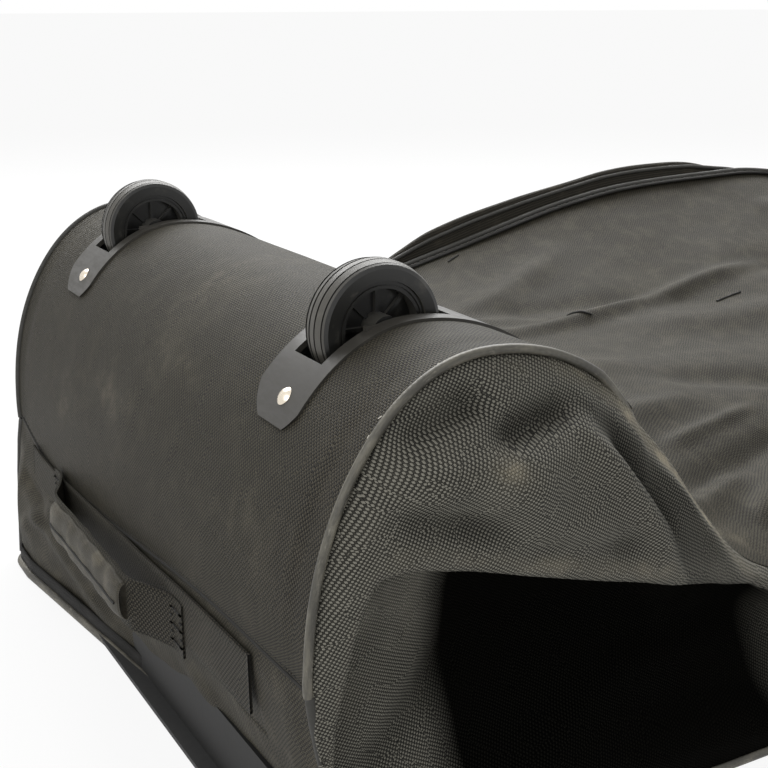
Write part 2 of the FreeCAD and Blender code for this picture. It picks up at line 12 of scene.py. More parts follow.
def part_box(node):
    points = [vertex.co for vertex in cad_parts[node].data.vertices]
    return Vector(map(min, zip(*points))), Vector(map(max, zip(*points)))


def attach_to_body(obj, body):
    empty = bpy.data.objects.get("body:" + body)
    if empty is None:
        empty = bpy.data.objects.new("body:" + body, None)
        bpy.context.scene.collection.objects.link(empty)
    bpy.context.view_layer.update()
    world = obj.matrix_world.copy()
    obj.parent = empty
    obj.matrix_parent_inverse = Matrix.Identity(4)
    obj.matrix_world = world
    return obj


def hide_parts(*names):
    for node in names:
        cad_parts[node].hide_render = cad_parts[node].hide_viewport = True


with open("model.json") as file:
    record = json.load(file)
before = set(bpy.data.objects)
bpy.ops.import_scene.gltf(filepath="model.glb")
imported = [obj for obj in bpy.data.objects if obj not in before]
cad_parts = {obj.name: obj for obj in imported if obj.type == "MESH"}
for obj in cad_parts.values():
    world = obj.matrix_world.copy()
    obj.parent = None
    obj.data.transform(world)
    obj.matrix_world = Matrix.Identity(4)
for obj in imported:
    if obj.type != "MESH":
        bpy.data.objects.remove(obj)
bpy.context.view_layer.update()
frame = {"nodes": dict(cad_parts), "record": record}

MM = 0.001
RNG = np.random.RandomState(7)

# ---------------------------------------------------------------- measures from the frame


def mm_box(node):
    low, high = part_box(node)
    return np.array(low) / MM, np.array(high) / MM


ARCH_LOW, ARCH_HIGH = mm_box("wheel_end_panel")
GROUND_LOW, GROUND_HIGH = mm_box("ground_panel")
HALF_W = (GROUND_HIGH[1] - GROUND_LOW[1]) / 2
WHEEL_Y = sum(corner[1] for corner in mm_box("wheel_tyre_left")) / 2
# Outline of the wheel end: the centre of its ellipse, its rise and its two half-lengths
ARCH_X, ARCH_Z = -328.0, 130.0
RISE = ARCH_HIGH[2] - ARCH_Z
FRONT_A, BACK_A = ARCH_X - ARCH_LOW[0], 125.0
JOIN_X = ARCH_HIGH[0]                   # where the wheel end meets the slumped back panel
END_X = mm_box("back_panel")[1][0]
FOOT_Z = 118.0                          # mean height of the seam between wheel end and gusset
GROUND_FRONT_X = -431.0                 # ground seam below the wheel end
FRONT_X = -424.0                        # front edge of the two sides
FRONT_BEND = (-380, 45)                 # from this x, over this length, a side leans with its front
SEAM_SHARE = 0.994                      # half-width of the wheel end's cloth, as a share of its seams
FAR_SHARE = 0.997                       # the same for the back panel and the far end


# ---------------------------------------------------------------- small numeric tools
def curve(knots, t):
    """Catmull-Rom through knots (rows: t, values...)."""
    k = np.asarray(knots, float)
    t = np.atleast_1d(np.asarray(t, float))
    i = np.clip(np.searchsorted(k[:, 0], t, side="right") - 1, 0, len(k) - 2)
    before, after = np.maximum(i - 1, 0), np.minimum(i + 2, len(k) - 1)
    w = k[i + 1, 0] - k[i, 0]
    s = ((t - k[i, 0]) / w)[:, None]
    a, b = k[i, 1:], k[i + 1, 1:]
    ma = (b - k[before, 1:]) / (k[i + 1, 0] - k[before, 0])[:, None] * w[:, None]
    mb = (k[after, 1:] - a) / (k[after, 0] - k[i, 0])[:, None] * w[:, None]
    return ((2 * s**3 - 3 * s**2 + 1) * a + (s**3 - 2 * s**2 + s) * ma
            + (3 * s**2 - 2 * s**3) * b + (s**3 - s**2) * mb)


def unit(v):
    """Holds a value within 0..1."""
    return np.clip(v, 0, 1)


def hem(share, width):
    """0 at both ends of a share from 0 to 1, and 1 further than width from them."""
    return unit(share / width) * unit((1 - share) / width)


def bell(v, centre, width):
    return np.exp(-((v - centre) / width) ** 2)


def run_length(p):
    """Distance along a line of points, at each point."""
    return np.r_[0, np.cumsum(np.linalg.norm(np.diff(p, axis=0), axis=1))]


def even(points, count):
    """Resamples a polyline evenly by length."""
    p = np.asarray(points, float)
    d = run_length(p)
    s = np.linspace(0, d[-1], count)
    return np.stack([np.interp(s, d, column) for column in p.T], 1)


def smooth_line(points, count):
    """A smooth line through a few points, resampled evenly."""
    p = np.asarray(points, float)
    d = run_length(p)
    return even(curve(np.c_[d, p], np.linspace(0, d[-1], count * 3)), count)


def eased(points, passes=3):
    """A line of points with its inner points averaged with their neighbours."""
    points = np.array(points)
    for _ in range(passes):
        points[1:-1] = (points[:-2] + points[1:-1] + points[2:]) / 3
    return points


def shares_grid(u, v):
    """Two arrays that hold u along a grid's rows and v along its columns."""
    return np.meshgrid(u, v, indexing="ij")


LATTICE_SIZE = 24
LATTICE = RNG.rand(LATTICE_SIZE, LATTICE_SIZE, LATTICE_SIZE)


def noise(p, scale, shift=0.0):
    """Smooth value noise in -1..1 at points p (mm), with features about scale mm."""
    q = np.asarray(p, float) / scale + shift
    i = np.floor(q).astype(int)
    f = q - i
    f = f * f * (3 - 2 * f)
    i = i % LATTICE_SIZE
    j = (i + 1) % LATTICE_SIZE
    out = 0.0
    for a, wa in ((i[..., 0], 1 - f[..., 0]), (j[..., 0], f[..., 0])):
        for b, wb in ((i[..., 1], 1 - f[..., 1]), (j[..., 1], f[..., 1])):
            for c, wc in ((i[..., 2], 1 - f[..., 2]), (j[..., 2], f[..., 2])):
                out = out + LATTICE[a, b, c] * wa * wb * wc
    return out * 2 - 1


def ridge(plane, a, b, width, height, bow=0.0):
    """Height of one cloth fold running from a to b in a 2-D plane of coordinates."""
    a, b = np.array(a, float), np.array(b, float)
    along = b - a
    length = np.linalg.norm(along)
    along /= length
    across = np.array([-along[1], along[0]])
    t = (plane - a) @ along / length
    s = (plane - a) @ across - bow * np.sin(np.pi * unit(t))
    end = unit(np.minimum(t, 1 - t) * 3.0 + 0.12)
    end = np.where((t < -0.1) | (t > 1.1), 0, end)
    return height * bell(s, 0, width) * end * end * (3 - 2 * end)


def ridges(plane, folds):
    """Height of several folds, each row two points, width, height and bow."""
    return sum(ridge(plane, fold[:2], fold[2:4], *fold[4:]) for fold in folds)


# ---------------------------------------------------------------- mesh tools
def make_mesh(name, verts, faces, uvs=None, material=None, smooth=True, wear_and_shade=None):
    """verts in mm; uvs is one (u, v) in mm for each vertex."""
    me = bpy.data.meshes.new(name)
    me.from_pydata((np.asarray(verts, float) * MM).tolist(), [], [tuple(f) for f in faces])
    if uvs is not None:
        layer = me.uv_layers.new(name="UVMap")
        loops = np.empty(len(me.loops), int)
        me.loops.foreach_get("vertex_index", loops)
        layer.data.foreach_set("uv", (np.asarray(uvs, float)[loops] * MM).ravel())
    if wear_and_shade is not None:
        att = me.attributes.new("wear_and_shade", "FLOAT", "POINT")
        att.data.foreach_set("value", np.asarray(wear_and_shade, np.float32).ravel())
    me.polygons.foreach_set("use_smooth", [smooth] * len(me.polygons))
    ob = bpy.data.objects.new(name, me)
    bpy.context.scene.collection.objects.link(ob)
    if material is not None:
        me.materials.append(material)
    return ob


def grid_faces(nu, nv, keep=None, wrap=False):
    i, j = np.meshgrid(np.arange(nu - 1), np.arange(nv if wrap else nv - 1), indexing="ij")
    k = (j + 1) % nv
    quads = np.stack([i * nv + j, (i + 1) * nv + j, (i + 1) * nv + k, i * nv + k], -1)
    if keep is not None:
        quads = quads[keep[:-1, :-1]]
    return quads.reshape(-1, 4)


def length_uv(p):
    """(u, v) in mm from lengths along the rows and columns of a grid of points."""
    du = np.linalg.norm(np.diff(p, axis=0), axis=2)
    dv = np.linalg.norm(np.diff(p, axis=1), axis=2)
    u = np.r_[0, np.cumsum(du.mean(1))][:, None] + 0 * p[..., 0]
    v = np.concatenate([np.zeros((p.shape[0], 1)), np.cumsum(dv, axis=1)], 1)
    return np.stack([u, v], -1)


def normals(p, axis, sign):
    """Unit normals of a grid of points, on the side that mostly faces along sign on an axis."""
    n = np.cross(np.gradient(p, axis=0), np.gradient(p, axis=1))
    n = n / np.maximum(np.linalg.norm(n, axis=-1, keepdims=True), 1e-9)
    return n * np.sign(sign * n[..., axis].mean())


def attach(piece, body, slot, *nodes):
    """Lets a piece ride on a body and stand for CAD nodes, which it hides.
    slot is not used.
    """
    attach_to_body(piece, body)
    if nodes:
        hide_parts(*nodes)


def cloth(name, p, material, thick=1.6, keep=None, wear_and_shade=None, uv=None, flip=False):
    """A sheet through a grid of points (mm), given its thickness towards the inside."""
    nu, nv = p.shape[:2]
    faces = grid_faces(nu, nv, keep)
    if flip:
        faces = faces[:, ::-1]
    uv = length_uv(p) if uv is None else uv
    ob = make_mesh(name, p.reshape(-1, 3), faces, uv.reshape(-1, 2), material,
                   wear_and_shade=None if wear_and_shade is None else wear_and_shade.reshape(-1))
    if keep is not None:
        drop_loose(ob)
    mod = ob.modifiers.new("thickness", "SOLIDIFY")
    mod.thickness = thick * MM
    mod.offset = -1.0
    return ob


def drop_loose(ob):
    """Deletes the points that no face uses."""
    bm = bmesh.new()
    bm.from_mesh(ob.data)
    bmesh.ops.delete(bm, geom=[v for v in bm.verts if not v.link_faces], context="VERTS")
    bm.to_mesh(ob.data)
    bm.free()


def frames(path, up):
    """Tangent, side and top direction at each point of a path."""
    t = np.gradient(path, axis=0)
    t /= np.linalg.norm(t, axis=1, keepdims=True)
    side = np.cross(np.broadcast_to(np.asarray(up, float), t.shape), t)
    side /= np.maximum(np.linalg.norm(side, axis=1, keepdims=True), 1e-9)
    top = np.cross(t, side)
    return t, side, top


def sweep(name, path, section, up, material, caps=True, wear_and_shade=None):
    """Sweeps a closed 2-D section (side, top), one for all or one per point, along a path."""
    path = np.asarray(path, float)
    _, side, top = frames(path, up)
    section = np.asarray(section, float)
    if section.ndim == 2:
        section = np.broadcast_to(section, (len(path),) + section.shape)
    m = section.shape[1]
    p = path[:, None] + side[:, None] * section[..., :1] + top[:, None] * section[..., 1:]
    d, ring = run_length(path), run_length(section[0])
    uv = np.stack([d[:, None] + 0 * ring, ring[None] + 0 * d[:, None]], -1)
    faces = grid_faces(len(path), m, wrap=True).tolist()
    if caps:
        faces.append(list(range(m))[::-1])
        faces.append([(len(path) - 1) * m + k for k in range(m)])
    return make_mesh(name, p.reshape(-1, 3), faces, uv.reshape(-1, 2), material,
                     wear_and_shade=None if wear_and_shade is None else np.repeat(wear_and_shade, m))


CUBE_FACES = ((0, 1, 3, 2), (4, 6, 7, 5), (0, 4, 5, 1), (2, 3, 7, 6), (1, 5, 7, 3), (0, 2, 6, 4))


def blocks(name, corners, material):
    """Many small blocks in one mesh, from the eight corners of each."""
    faces = [[8 * k + q for q in face] for k in range(len(corners)) for face in CUBE_FACES]
    return make_mesh(name, np.reshape(corners, (-1, 3)), faces, None, material, smooth=False)


def strip(sides, low, high):
    """Outline of a flat strip between two sides, from low to high above its path."""
    right, left = sides
    return np.array([(right, low), (left, low), (left, high), (right, high)])


def circle(radius, count=14, flat=1.0):
    a = np.linspace(0, 2 * math.pi, count, endpoint=False)
    return np.stack([radius * np.cos(a), radius * flat * np.sin(a)], 1)


def join(name, objects):
    bpy.ops.object.select_all(action="DESELECT")
    for o in objects:
        o.select_set(True)
    bpy.context.view_layer.objects.active = objects[0]
    bpy.ops.object.join()
    objects[0].name = name
    objects[0].data.name = name
    return objects[0]


# ---------------------------------------------------------------- materials
RUBBED = (0.32, 0.285, 0.21)
# Near black for painted shade: cloth is blended towards it in the undercut, the fold hollows and on the left
# side.
PAINTED_SHADE_BLACK = (0.0006, 0.0006, 0.0005)
FINE_GRAIN = 0.00006                    # depth in metres of the grain on plastic and rubber


def lighter(colour, times):
    return tuple(min(1.0, times * c) for c in colour)


class Nodes:
    """Short names for building the nodes of a material, or of another data block."""

    def __init__(self, name, owner=None):
        self.mat = owner or bpy.data.materials.new(name)
        self.mat.use_nodes = True
        self.tree = self.mat.node_tree
        self.bsdf = self.tree.nodes.get("Principled BSDF")

    def node(self, kind, **values):
        n = self.tree.nodes.new("ShaderNode" + kind)
        for k, v in values.items():
            setattr(n, k, v)
        return n

    def link(self, a, b):
        self.tree.links.new(a, b)

    def give(self, socket, v):
        """Sets an input to a number or a colour, or links it to another socket."""
        if isinstance(v, (int, float)):
            socket.default_value = v
        elif isinstance(v, tuple):
            socket.default_value = (*v, 1.0)
        else:
            self.link(v, socket)

    def math(self, op, *values, clamp=False):
        n = self.node("Math", operation=op, use_clamp=clamp)
        for socket, v in zip(n.inputs, values):
            self.give(socket, v)
        return n.outputs[0]

    def times(self, a, b, clamp=False):
        return self.math("MULTIPLY", a, b, clamp=clamp)

    def split(self, vector):
        n = self.node("SeparateXYZ")
        self.link(vector, n.inputs[0])
        return n.outputs

    def uv(self):
        return self.node("UVMap", uv_map="UVMap").outputs[0]

    def position(self):
        return self.node("TexCoord").outputs["Object"]

    def noise(self, vector, scale, detail=3.0, rough=0.55, stretch=None):
        if stretch is not None:
            m = self.node("Mapping")
            m.inputs["Scale"].default_value = stretch
            self.link(vector, m.inputs[0])
            vector = m.outputs[0]
        n = self.node("TexNoise")
        n.inputs["Scale"].default_value = scale
        n.inputs["Detail"].default_value = detail
        n.inputs["Roughness"].default_value = rough
        self.link(vector, n.inputs["Vector"])
        return n.outputs[0]

    def ramp(self, fac, stops):
        n = self.node("MapRange", interpolation_type="SMOOTHSTEP")
        for k, v in zip(("From Min", "From Max", "To Min", "To Max"), stops):
            n.inputs[k].default_value = v
        self.link(fac, n.inputs["Value"])
        return n.outputs[0]

    def mix(self, fac, a, b):
        n = self.node("Mix", data_type="RGBA")
        for k, v in ((0, fac), (6, a), (7, b)):
            self.give(n.inputs[k], v)
        return n.outputs[2]

    def bump(self, height, strength, distance, normal=None):
        n = self.node("Bump")
        n.inputs["Strength"].default_value = strength
        n.inputs["Distance"].default_value = distance
        self.link(height, n.inputs["Height"])
        if normal is not None:
            self.link(normal, n.inputs["Normal"])
        return n.outputs[0]

    def set(self, **values):
        for k, v in values.items():
            self.give(self.bsdf.inputs[k.replace("_", " ")], v)


def woven(name, dark, light, pitch, depth, dust=0.25, turn=0.0, sheen=0.05, shine=0.22, off=0.35):
    """Plain woven nylon, pitch and depth in mm.

    Threads pass over and under in turn, and off is how much the under ones show. The colour runs
    from dark in the gaps to light on the thread tops: partly the weave's own pattern, partly painted
    shade. The attribute read below rubs the cloth pale above 0; below 0 it paints shade, blending the
    cloth towards near black and taking away its sheen and shine.
    """
    n = Nodes(name)
    m = n.node("Mapping")
    s = 1.0 / (pitch * MM)
    m.inputs["Scale"].default_value = (s, s, s)
    m.inputs["Rotation"].default_value = (0, 0, math.radians(turn))
    n.link(n.uv(), m.inputs[0])
    threads = m.outputs[0]
    wobble = n.noise(threads, 0.05, 1.0)
    shift = n.node("VectorMath", operation="ADD")
    n.link(threads, shift.inputs[0])
    n.link(n.times(n.math("SUBTRACT", wobble, 0.5), 0.6), shift.inputs[1])
    across, along, _ = n.split(shift.outputs[0])
    warp = n.math("ABSOLUTE", n.math("SINE", n.times(across, math.pi)))
    weft = n.math("ABSOLUTE", n.math("SINE", n.times(along, math.pi)))
    check = n.node("TexChecker")
    check.inputs["Scale"].default_value = 1.0
    n.link(shift.outputs[0], check.inputs["Vector"])
    turns = check.outputs["Fac"]
    pick = n.node("Mix", data_type="FLOAT")
    n.link(turns, pick.inputs[0])
    n.link(n.times(n.math("SQRT", warp), n.math("MULTIPLY_ADD", weft, 0.5, 0.5)), pick.inputs[2])
    n.link(n.times(n.math("SQRT", weft), n.math("MULTIPLY_ADD", warp, 0.5, 0.5)), pick.inputs[3])
    height = pick.outputs[0]
    # Partly painted shade: the gaps and the under threads are coloured darker and the thread tops lighter, on
    # top of the weave's own pattern.
    lit = n.times(n.ramp(height, (0.15, 0.6, 0.0, 1.0)), n.ramp(turns, (0.0, 1.0, off, 1.0)))
    position = n.position()
    grain = n.noise(threads, 1.1, 2.0)
    big = n.noise(position, 9.0, 4.0, 0.6)
    fine = n.noise(position, 60.0, 4.0, 0.65)
    base = n.mix(lit, dark, light)
    base = n.mix(n.times(n.ramp(grain, (0.4, 0.8, 0.0, 0.35)), lit), base, light)
    dusty = n.times(n.ramp(big, (0.5, 0.78, 0.0, dust)), n.ramp(height, (0.2, 0.8, 0.3, 1.0)))
    base = n.mix(dusty, base, lighter(light, 2.1))
    wear_and_shade = n.node("Attribute", attribute_name="wear_and_shade").outputs["Fac"]
    worn = n.times(n.ramp(fine, (0.42, 0.72, 0.25, 1.0)), wear_and_shade, clamp=True)
    base = n.mix(n.times(worn, n.ramp(height, (0.2, 0.8, 0.35, 1.0))), base, RUBBED)
    # Painted shade: below 0 the attribute blends the colour towards near black and cuts sheen and shine.
    unshaded_share = n.math("ADD", wear_and_shade, 1.0, clamp=True)
    base = n.mix(unshaded_share, PAINTED_SHADE_BLACK, base)
    normal = n.bump(height, 1.0, depth * MM, n.bump(fine, 0.35, 0.0006))
    n.set(Base_Color=base, Roughness=0.6, Normal=normal, Sheen_Weight=n.times(unshaded_share, sheen),
          Sheen_Roughness=0.45, Sheen_Tint=(0.9, 0.88, 0.84),
          Specular_IOR_Level=n.times(unshaded_share, shine))
    return n.mat


def plastic(name, colour, rough, scratch=0.25):
    """Moulded plastic with pale scratches and a clouded surface."""
    n = Nodes(name)
    position = n.position()
    marks = n.noise(position, 55.0, 5.0, 0.7, (1.0, 1.0, 4.0))
    cloud = n.noise(position, 14.0, 3.0)
    base = n.mix(n.ramp(marks, (0.52, 0.78, 0.0, scratch)), colour, lighter(colour, 2.2))
    base = n.mix(n.ramp(cloud, (0.4, 0.75, 0.0, 0.3)), base, lighter(colour, 1.6))
    normal = n.bump(n.noise(position, 2400.0, 2.0), 0.35, FINE_GRAIN)
    n.set(Base_Color=base, Roughness=n.ramp(marks, (0.35, 0.7, rough, min(1.0, rough + 0.18))), Normal=normal)
    return n.mat


def turned(name, rim, face, rim_rough, face_rough):
    """A part turned about the wheel's axle: round surfaces painted lighter, darker glossy faces."""
    n = Nodes(name)
    position = n.position()
    sideways = n.split(n.node("NewGeometry").outputs["Normal"])[1]
    facing = n.ramp(n.math("ABSOLUTE", sideways), (0.25, 0.8, 0.0, 1.0))
    marks = n.noise(position, 70.0, 5.0, 0.7)
    base = n.mix(facing, rim, face)
    base = n.mix(n.ramp(marks, (0.5, 0.8, 0.0, 0.35)), base, lighter(rim, 2.5))
    rough = n.ramp(facing, (0.0, 1.0, rim_rough, face_rough))
    n.set(Base_Color=base, Roughness=rough, Normal=n.bump(n.noise(position, 1500.0, 2.0), 0.3, FINE_GRAIN))
    return n.mat


def metal(name, colour, rough):
    """Bare metal with finely varied gloss."""
    n = Nodes(name)
    marks = n.noise(n.position(), 900.0, 3.0)
    n.set(Base_Color=colour, Metallic=1.0, Roughness=n.ramp(marks, (0.3, 0.7, rough, rough + 0.15)))
    return n.mat


def piping_material(name):
    """Vinyl piping: dark cord worn pale along its crest, cracked across in places."""
    n = Nodes(name)
    uv = n.uv()
    long_marks = n.noise(uv, 30.0, 4.0, 0.65, (1.0, 4.0, 1.0))
    small = n.noise(uv, 260.0, 4.0, 0.7, (0.35, 1.0, 1.0))
    base = n.mix(n.ramp(long_marks, (0.38, 0.68, 0.0, 0.85)), (0.05, 0.047, 0.038), (0.165, 0.153, 0.12))
    base = n.mix(n.ramp(small, (0.56, 0.75, 0.0, 0.65)), base, (0.28, 0.262, 0.215))
    ring = n.node("TexWave", wave_type="BANDS", bands_direction="X")
    ring.inputs["Scale"].default_value = 95.0
    ring.inputs["Distortion"].default_value = 3.0
    ring.inputs["Detail"].default_value = 3.0
    n.link(uv, ring.inputs["Vector"])
    normal = n.bump(ring.outputs["Fac"], 0.25, 0.0003, n.bump(small, 0.3, 0.0002))
    n.set(Base_Color=base, Roughness=0.5, Normal=normal)
    return n.mat


def ribbed(name, dark, light, rib, cross, sheen=0.04):
    """Webbing or tape: ribs across its width every rib mm, and cross threads."""
    n = Nodes(name)
    along, across, _ = n.split(n.uv())
    r = n.math("SINE", n.times(across, 2 * math.pi / (rib * MM)))
    c = n.math("SINE", n.times(along, 2 * math.pi / (cross * MM)))
    height = n.math("MULTIPLY_ADD", n.times(r, c), 0.25, 0.5)
    height = n.math("ADD", height, n.times(r, 0.22))
    dirt = n.noise(n.position(), 45.0, 4.0, 0.6)
    base = n.mix(n.ramp(height, (0.2, 0.85, 0.0, 1.0)), dark, light)
    base = n.mix(n.ramp(dirt, (0.5, 0.75, 0.0, 0.4)), base, lighter(light, 1.9))
    n.set(Base_Color=base, Roughness=0.72, Normal=n.bump(height, 1.0, 0.00035), Sheen_Weight=sheen,
          Specular_IOR_Level=0.2)
    return n.mat


CANVAS = woven("fine_canvas", (0.002, 0.0018, 0.0012), (0.050, 0.0445, 0.031), 1.35, 0.3, 0.2, sheen=0.02,
               shine=0.13, off=0.04)
COARSE = woven("coarse_canvas", (0.002, 0.002, 0.0015), (0.20, 0.193, 0.162), 1.15, 0.5, 0.3, sheen=0.03,
               shine=0.15, off=0.1)
GRIP = woven("grip_twill", (0.004, 0.0037, 0.003), (0.034, 0.031, 0.0235), 1.0, 0.15, 0.25, turn=38.0,
             shine=0.16)
WEB = woven("webbing_weave", (0.002, 0.0019, 0.0016), (0.062, 0.056, 0.042), 1.5, 0.6, 0.2, sheen=0.02,
            shine=0.12, off=0.12)
EDGE = ribbed("edge_tape_weave", (0.008, 0.007, 0.005), (0.040, 0.035, 0.025), 2.2, 1.4)
TAPE = ribbed("zip_tape_weave", (0.004, 0.0038, 0.0035), (0.018, 0.017, 0.015), 1.4, 1.0)
PIPE = piping_material("piping_vinyl")
PIPE_FLAT = plastic("piping_flange_vinyl", (0.028, 0.027, 0.023), 0.6, 0.4)
ZIP_COIL = ribbed("zip_coil_nylon", (0.006, 0.006, 0.006), (0.035, 0.034, 0.033), 0.9, 1.3, 0.0)
FENDER = plastic("fender_plastic", (0.034, 0.0315, 0.0265), 0.38, 0.35)
WELL = plastic("well_plastic", (0.012, 0.012, 0.012), 0.6)
RUBBER = turned("tyre_rubber", (0.062, 0.058, 0.049), (0.011, 0.011, 0.010), 0.5, 0.28)
RIM = turned("rim_plastic", (0.05, 0.048, 0.042), (0.010, 0.010, 0.0095), 0.38, 0.3)
STEEL = metal("axle_steel", (0.55, 0.54, 0.52), 0.3)
NICKEL = metal("rivet_nickel", (0.78, 0.70, 0.58), 0.22)
ENAMEL = plastic("zip_enamel", (0.03, 0.03, 0.03), 0.3)
BOARD = plastic("board_sheet", (0.03, 0.03, 0.03), 0.7)
FOAM = woven("foam_cloth", (0.012, 0.012, 0.012), (0.03, 0.03, 0.028), 1.6, 0.12, 0.1)
THREAD = plastic("thread_dark", (0.012, 0.0115, 0.010), 0.8)
STITCH = plastic("thread_grey", (0.085, 0.08, 0.07), 0.8)
FRAY = plastic("thread_frayed", (0.42, 0.40, 0.35), 0.9)

FINISHES = {"fender": FENDER, "well": WELL, "tyre": RUBBER, "rim": RIM, "steel": STEEL,
            "rivet": NICKEL, "zip_metal": ENAMEL, "board": BOARD, "foam": FOAM, "liner": BOARD}
slots = {s["node"]: s["material_slot"] for s in frame["record"]["subparts"]}
for node, ob in frame["nodes"].items():
    if slots.get(node) in FINISHES:
        ob.data.materials.clear()
        ob.data.materials.append(FINISHES[slots[node]])


# ---------------------------------------------------------------- the bag's lines
def arch(angle, offset=0.0):
    """(x, z) on the wheel end's outline; angle 0 is the crown, positive is its front."""
    angle = np.asarray(angle, float)
    a = np.where(angle > 0, FRONT_A, BACK_A) + offset
    return (ARCH_X - a * np.sin(np.radians(angle)),
            ARCH_Z + (RISE + offset) * np.cos(np.radians(angle)))


FOOT_ANGLE = math.degrees(math.acos((FOOT_Z - ARCH_Z) / RISE))
JOIN_ANGLE = math.degrees(math.asin((JOIN_X - ARCH_X) / BACK_A))

# x, right seam, left seam and centre-line height of the slumped back panel
SEAM = np.array([
    (-240, 230, 232, 232), (-215, 204, 217, 222), (-190, 172, 203, 212), (-160, 139, 196, 196),
    (-130, 122, 190, 182), (-40, 98, 210, 170), (60, 92, 236, 170), (130, 94, 250, 172),
    (190, 98, 256, 176), (270, 118, 259, 184), (330, 138, 259, 192), (425, 172, 246, 212)
], float)


def seam_line(side, count=260, lift=0.0):
    """Points (x, z) along one side's top seam, from the handle end over the crown."""
    angle = np.linspace(FOOT_ANGLE, -JOIN_ANGLE, 120)
    x, z = arch(angle, lift)
    xs = np.linspace(SEAM[0, 0], END_X, 160)[1:]
    zs = curve(SEAM, xs)[:, 0 if side < 0 else 1] + lift
    return even(np.c_[np.r_[x, xs], np.r_[z, zs]], count)


def seam_y(side, x, z):
    """Where a side seam stands across the bag; the wheel end has twisted a little."""
    low = unit((270 - z) / 130) * unit((-300 - x) / 60)
    end = unit((-200 - x) / 100)
    return side * HALF_W - (2 + 8 * low) * end if side < 0 else HALF_W + (5 - 12 * low) * end


# y and height of the seam where the stiff end stops, above the handle
FOOT_LINE = np.array([
    (-262, 131), (-157, 127), (-99, 122), (-42, 115), (44, 105), (110, 98), (160, 98), (200, 105),
    (245, 119)
], float)


def foot_height(y):
    """The stiff end's lower seam sags towards the left."""
    return curve(FOOT_LINE, np.clip(np.ravel(y), *FOOT_LINE[[0, -1], 0])).reshape(np.shape(y))


def arch_surface(angle, s):
    """Stiff end at an arch angle (front positive) and a share s from right (-1) to left (+1)."""
    x, z = arch(angle)
    right, left = seam_y(-1, x, z), seam_y(1, x, z)
    y = right + (left - right) * (s + 1) / 2
    low = unit((angle - 80) / (FOOT_ANGLE - 80))
    z = z + (foot_height(y) - FOOT_Z) * low ** 1.5
    return np.stack([x, y, z], -1)


def front_bend(x):
    """1 at the front of the bag, and 0 behind its leaning front edge."""
    return unit((FRONT_BEND[0] - x) / FRONT_BEND[1])


def setback(x, y):
    """The ground seam draws in under the wheel end towards the right."""
    return x + np.clip((205 - y) * 0.13, 0, 42) * front_bend(x)


def ground_front(y):
    return setback(GROUND_FRONT_X + 0 * y, y)


def front_shift(side, x, z):
    """How far a side's front edge leans from the foot seam to the ground seam."""
    t = unit((FOOT_Z - z) / (FOOT_Z - 6))
    lean = ground_front(side * HALF_W) - arch(FOOT_ANGLE)[0]
    return lean * t ** 1.4 * front_bend(x)


def corner_swell(side, t):
    """How far the front corners stand out, from the foot seam (0) to the ground (1)."""
    share = np.interp(t, (0, 0.045, 0.18, 0.42, 0.73, 0.92, 1), (0, 0.33, 0.82, 1, 0.62, 0.2, 0))
    return share * (2.5 if side < 0 else 10.5)


# ---------------------------------------------------------------- wheel end panel
# Rubbed places of the wheel end: y, z, half-widths along y and z, and strength
ARCH_SCUFFS = (
    (40, 190, 34, 10, 0.5), (-40, 228, 30, 6, 0.45), (-110, 150, 22, 9, 0.3), (120, 165, 20, 18, 0.35),
    (-10, 274, 16, 40, 0.25), (-180, 180, 24, 20, 0.25)
)


def make_arch_panel():
    """Stiff cloth of the wheel end, open under the two wheels."""
    a, s = shares_grid(np.linspace(FOOT_ANGLE, -JOIN_ANGLE, 260), np.linspace(-SEAM_SHARE, SEAM_SHARE, 420))
    p = arch_surface(a, s)
    y = p[..., 1]
    dent = 0.9 * noise(p, 95.0) + 0.35 * noise(p, 38.0, 5.0) - bell(np.abs(s), 0.94, 0.03)
    for wheel_y in (-WHEEL_Y, WHEEL_Y):
        near = bell(y, wheel_y, 40) * unit((p[..., 2] - 215) / 20)
        dent = dent * (1 - 0.9 * near) - 0.2 * near
    stiff = unit((p[..., 2] - 120) / 60)
    p = p + normals(p, 0, -1) * (dent * unit((1 - np.abs(s)) / 0.1) * stiff)[..., None]
    x, _, z = np.moveaxis(p, -1, 0)
    hole = (np.abs(np.abs(y) - WHEEL_Y) < 21.5) & (np.abs(x + 340) < 40) & (z > 200)
    wear_and_shade = 0.05 + sum(0.35 * k * bell(y, y0, wy) * bell(z, z0, wz) for y0, z0, wy, wz, k in ARCH_SCUFFS)
    attach(cloth("arch_panel", p, CANVAS, 2.0, keep=~hole, wear_and_shade=wear_and_shade, flip=True), "bag", "canvas",
           "wheel_end_panel")


# ---------------------------------------------------------------- side panels
# Right side by seam station: x on the seam, how far it bulges, height of the slack fold
# under the bulge, how deep the cloth tucks in below that fold, and how far down the bulge
# its outermost crease lies.
RIGHT = np.array([
    (-424, 3, 60, 0, .45), (-418, 6, 100, 2, .45), (-400, 14, 176, 5, .45), (-383, 20, 188, 8, .45),
    (-360, 26, 184, 18, .45), (-330, 31, 177, 34, .45), (-289, 32, 166, 44, .42), (-268, 31, 160, 46, .46),
    (-245, 29, 154, 46, .62), (-223, 27, 146, 46, .93), (-187, 17, 135, 44, .93), (-140, 7, 121, 40, .93),
    (-100, 12, 98, 34, .6), (-40, 24, 74, 26, .4), (60, 32, 66, 20, .4), (180, 34, 70, 18, .4),
    (310, 32, 78, 14, .4), (400, 18, 92, 8, .4), (425, 1, 100, 0, .4)
], float)


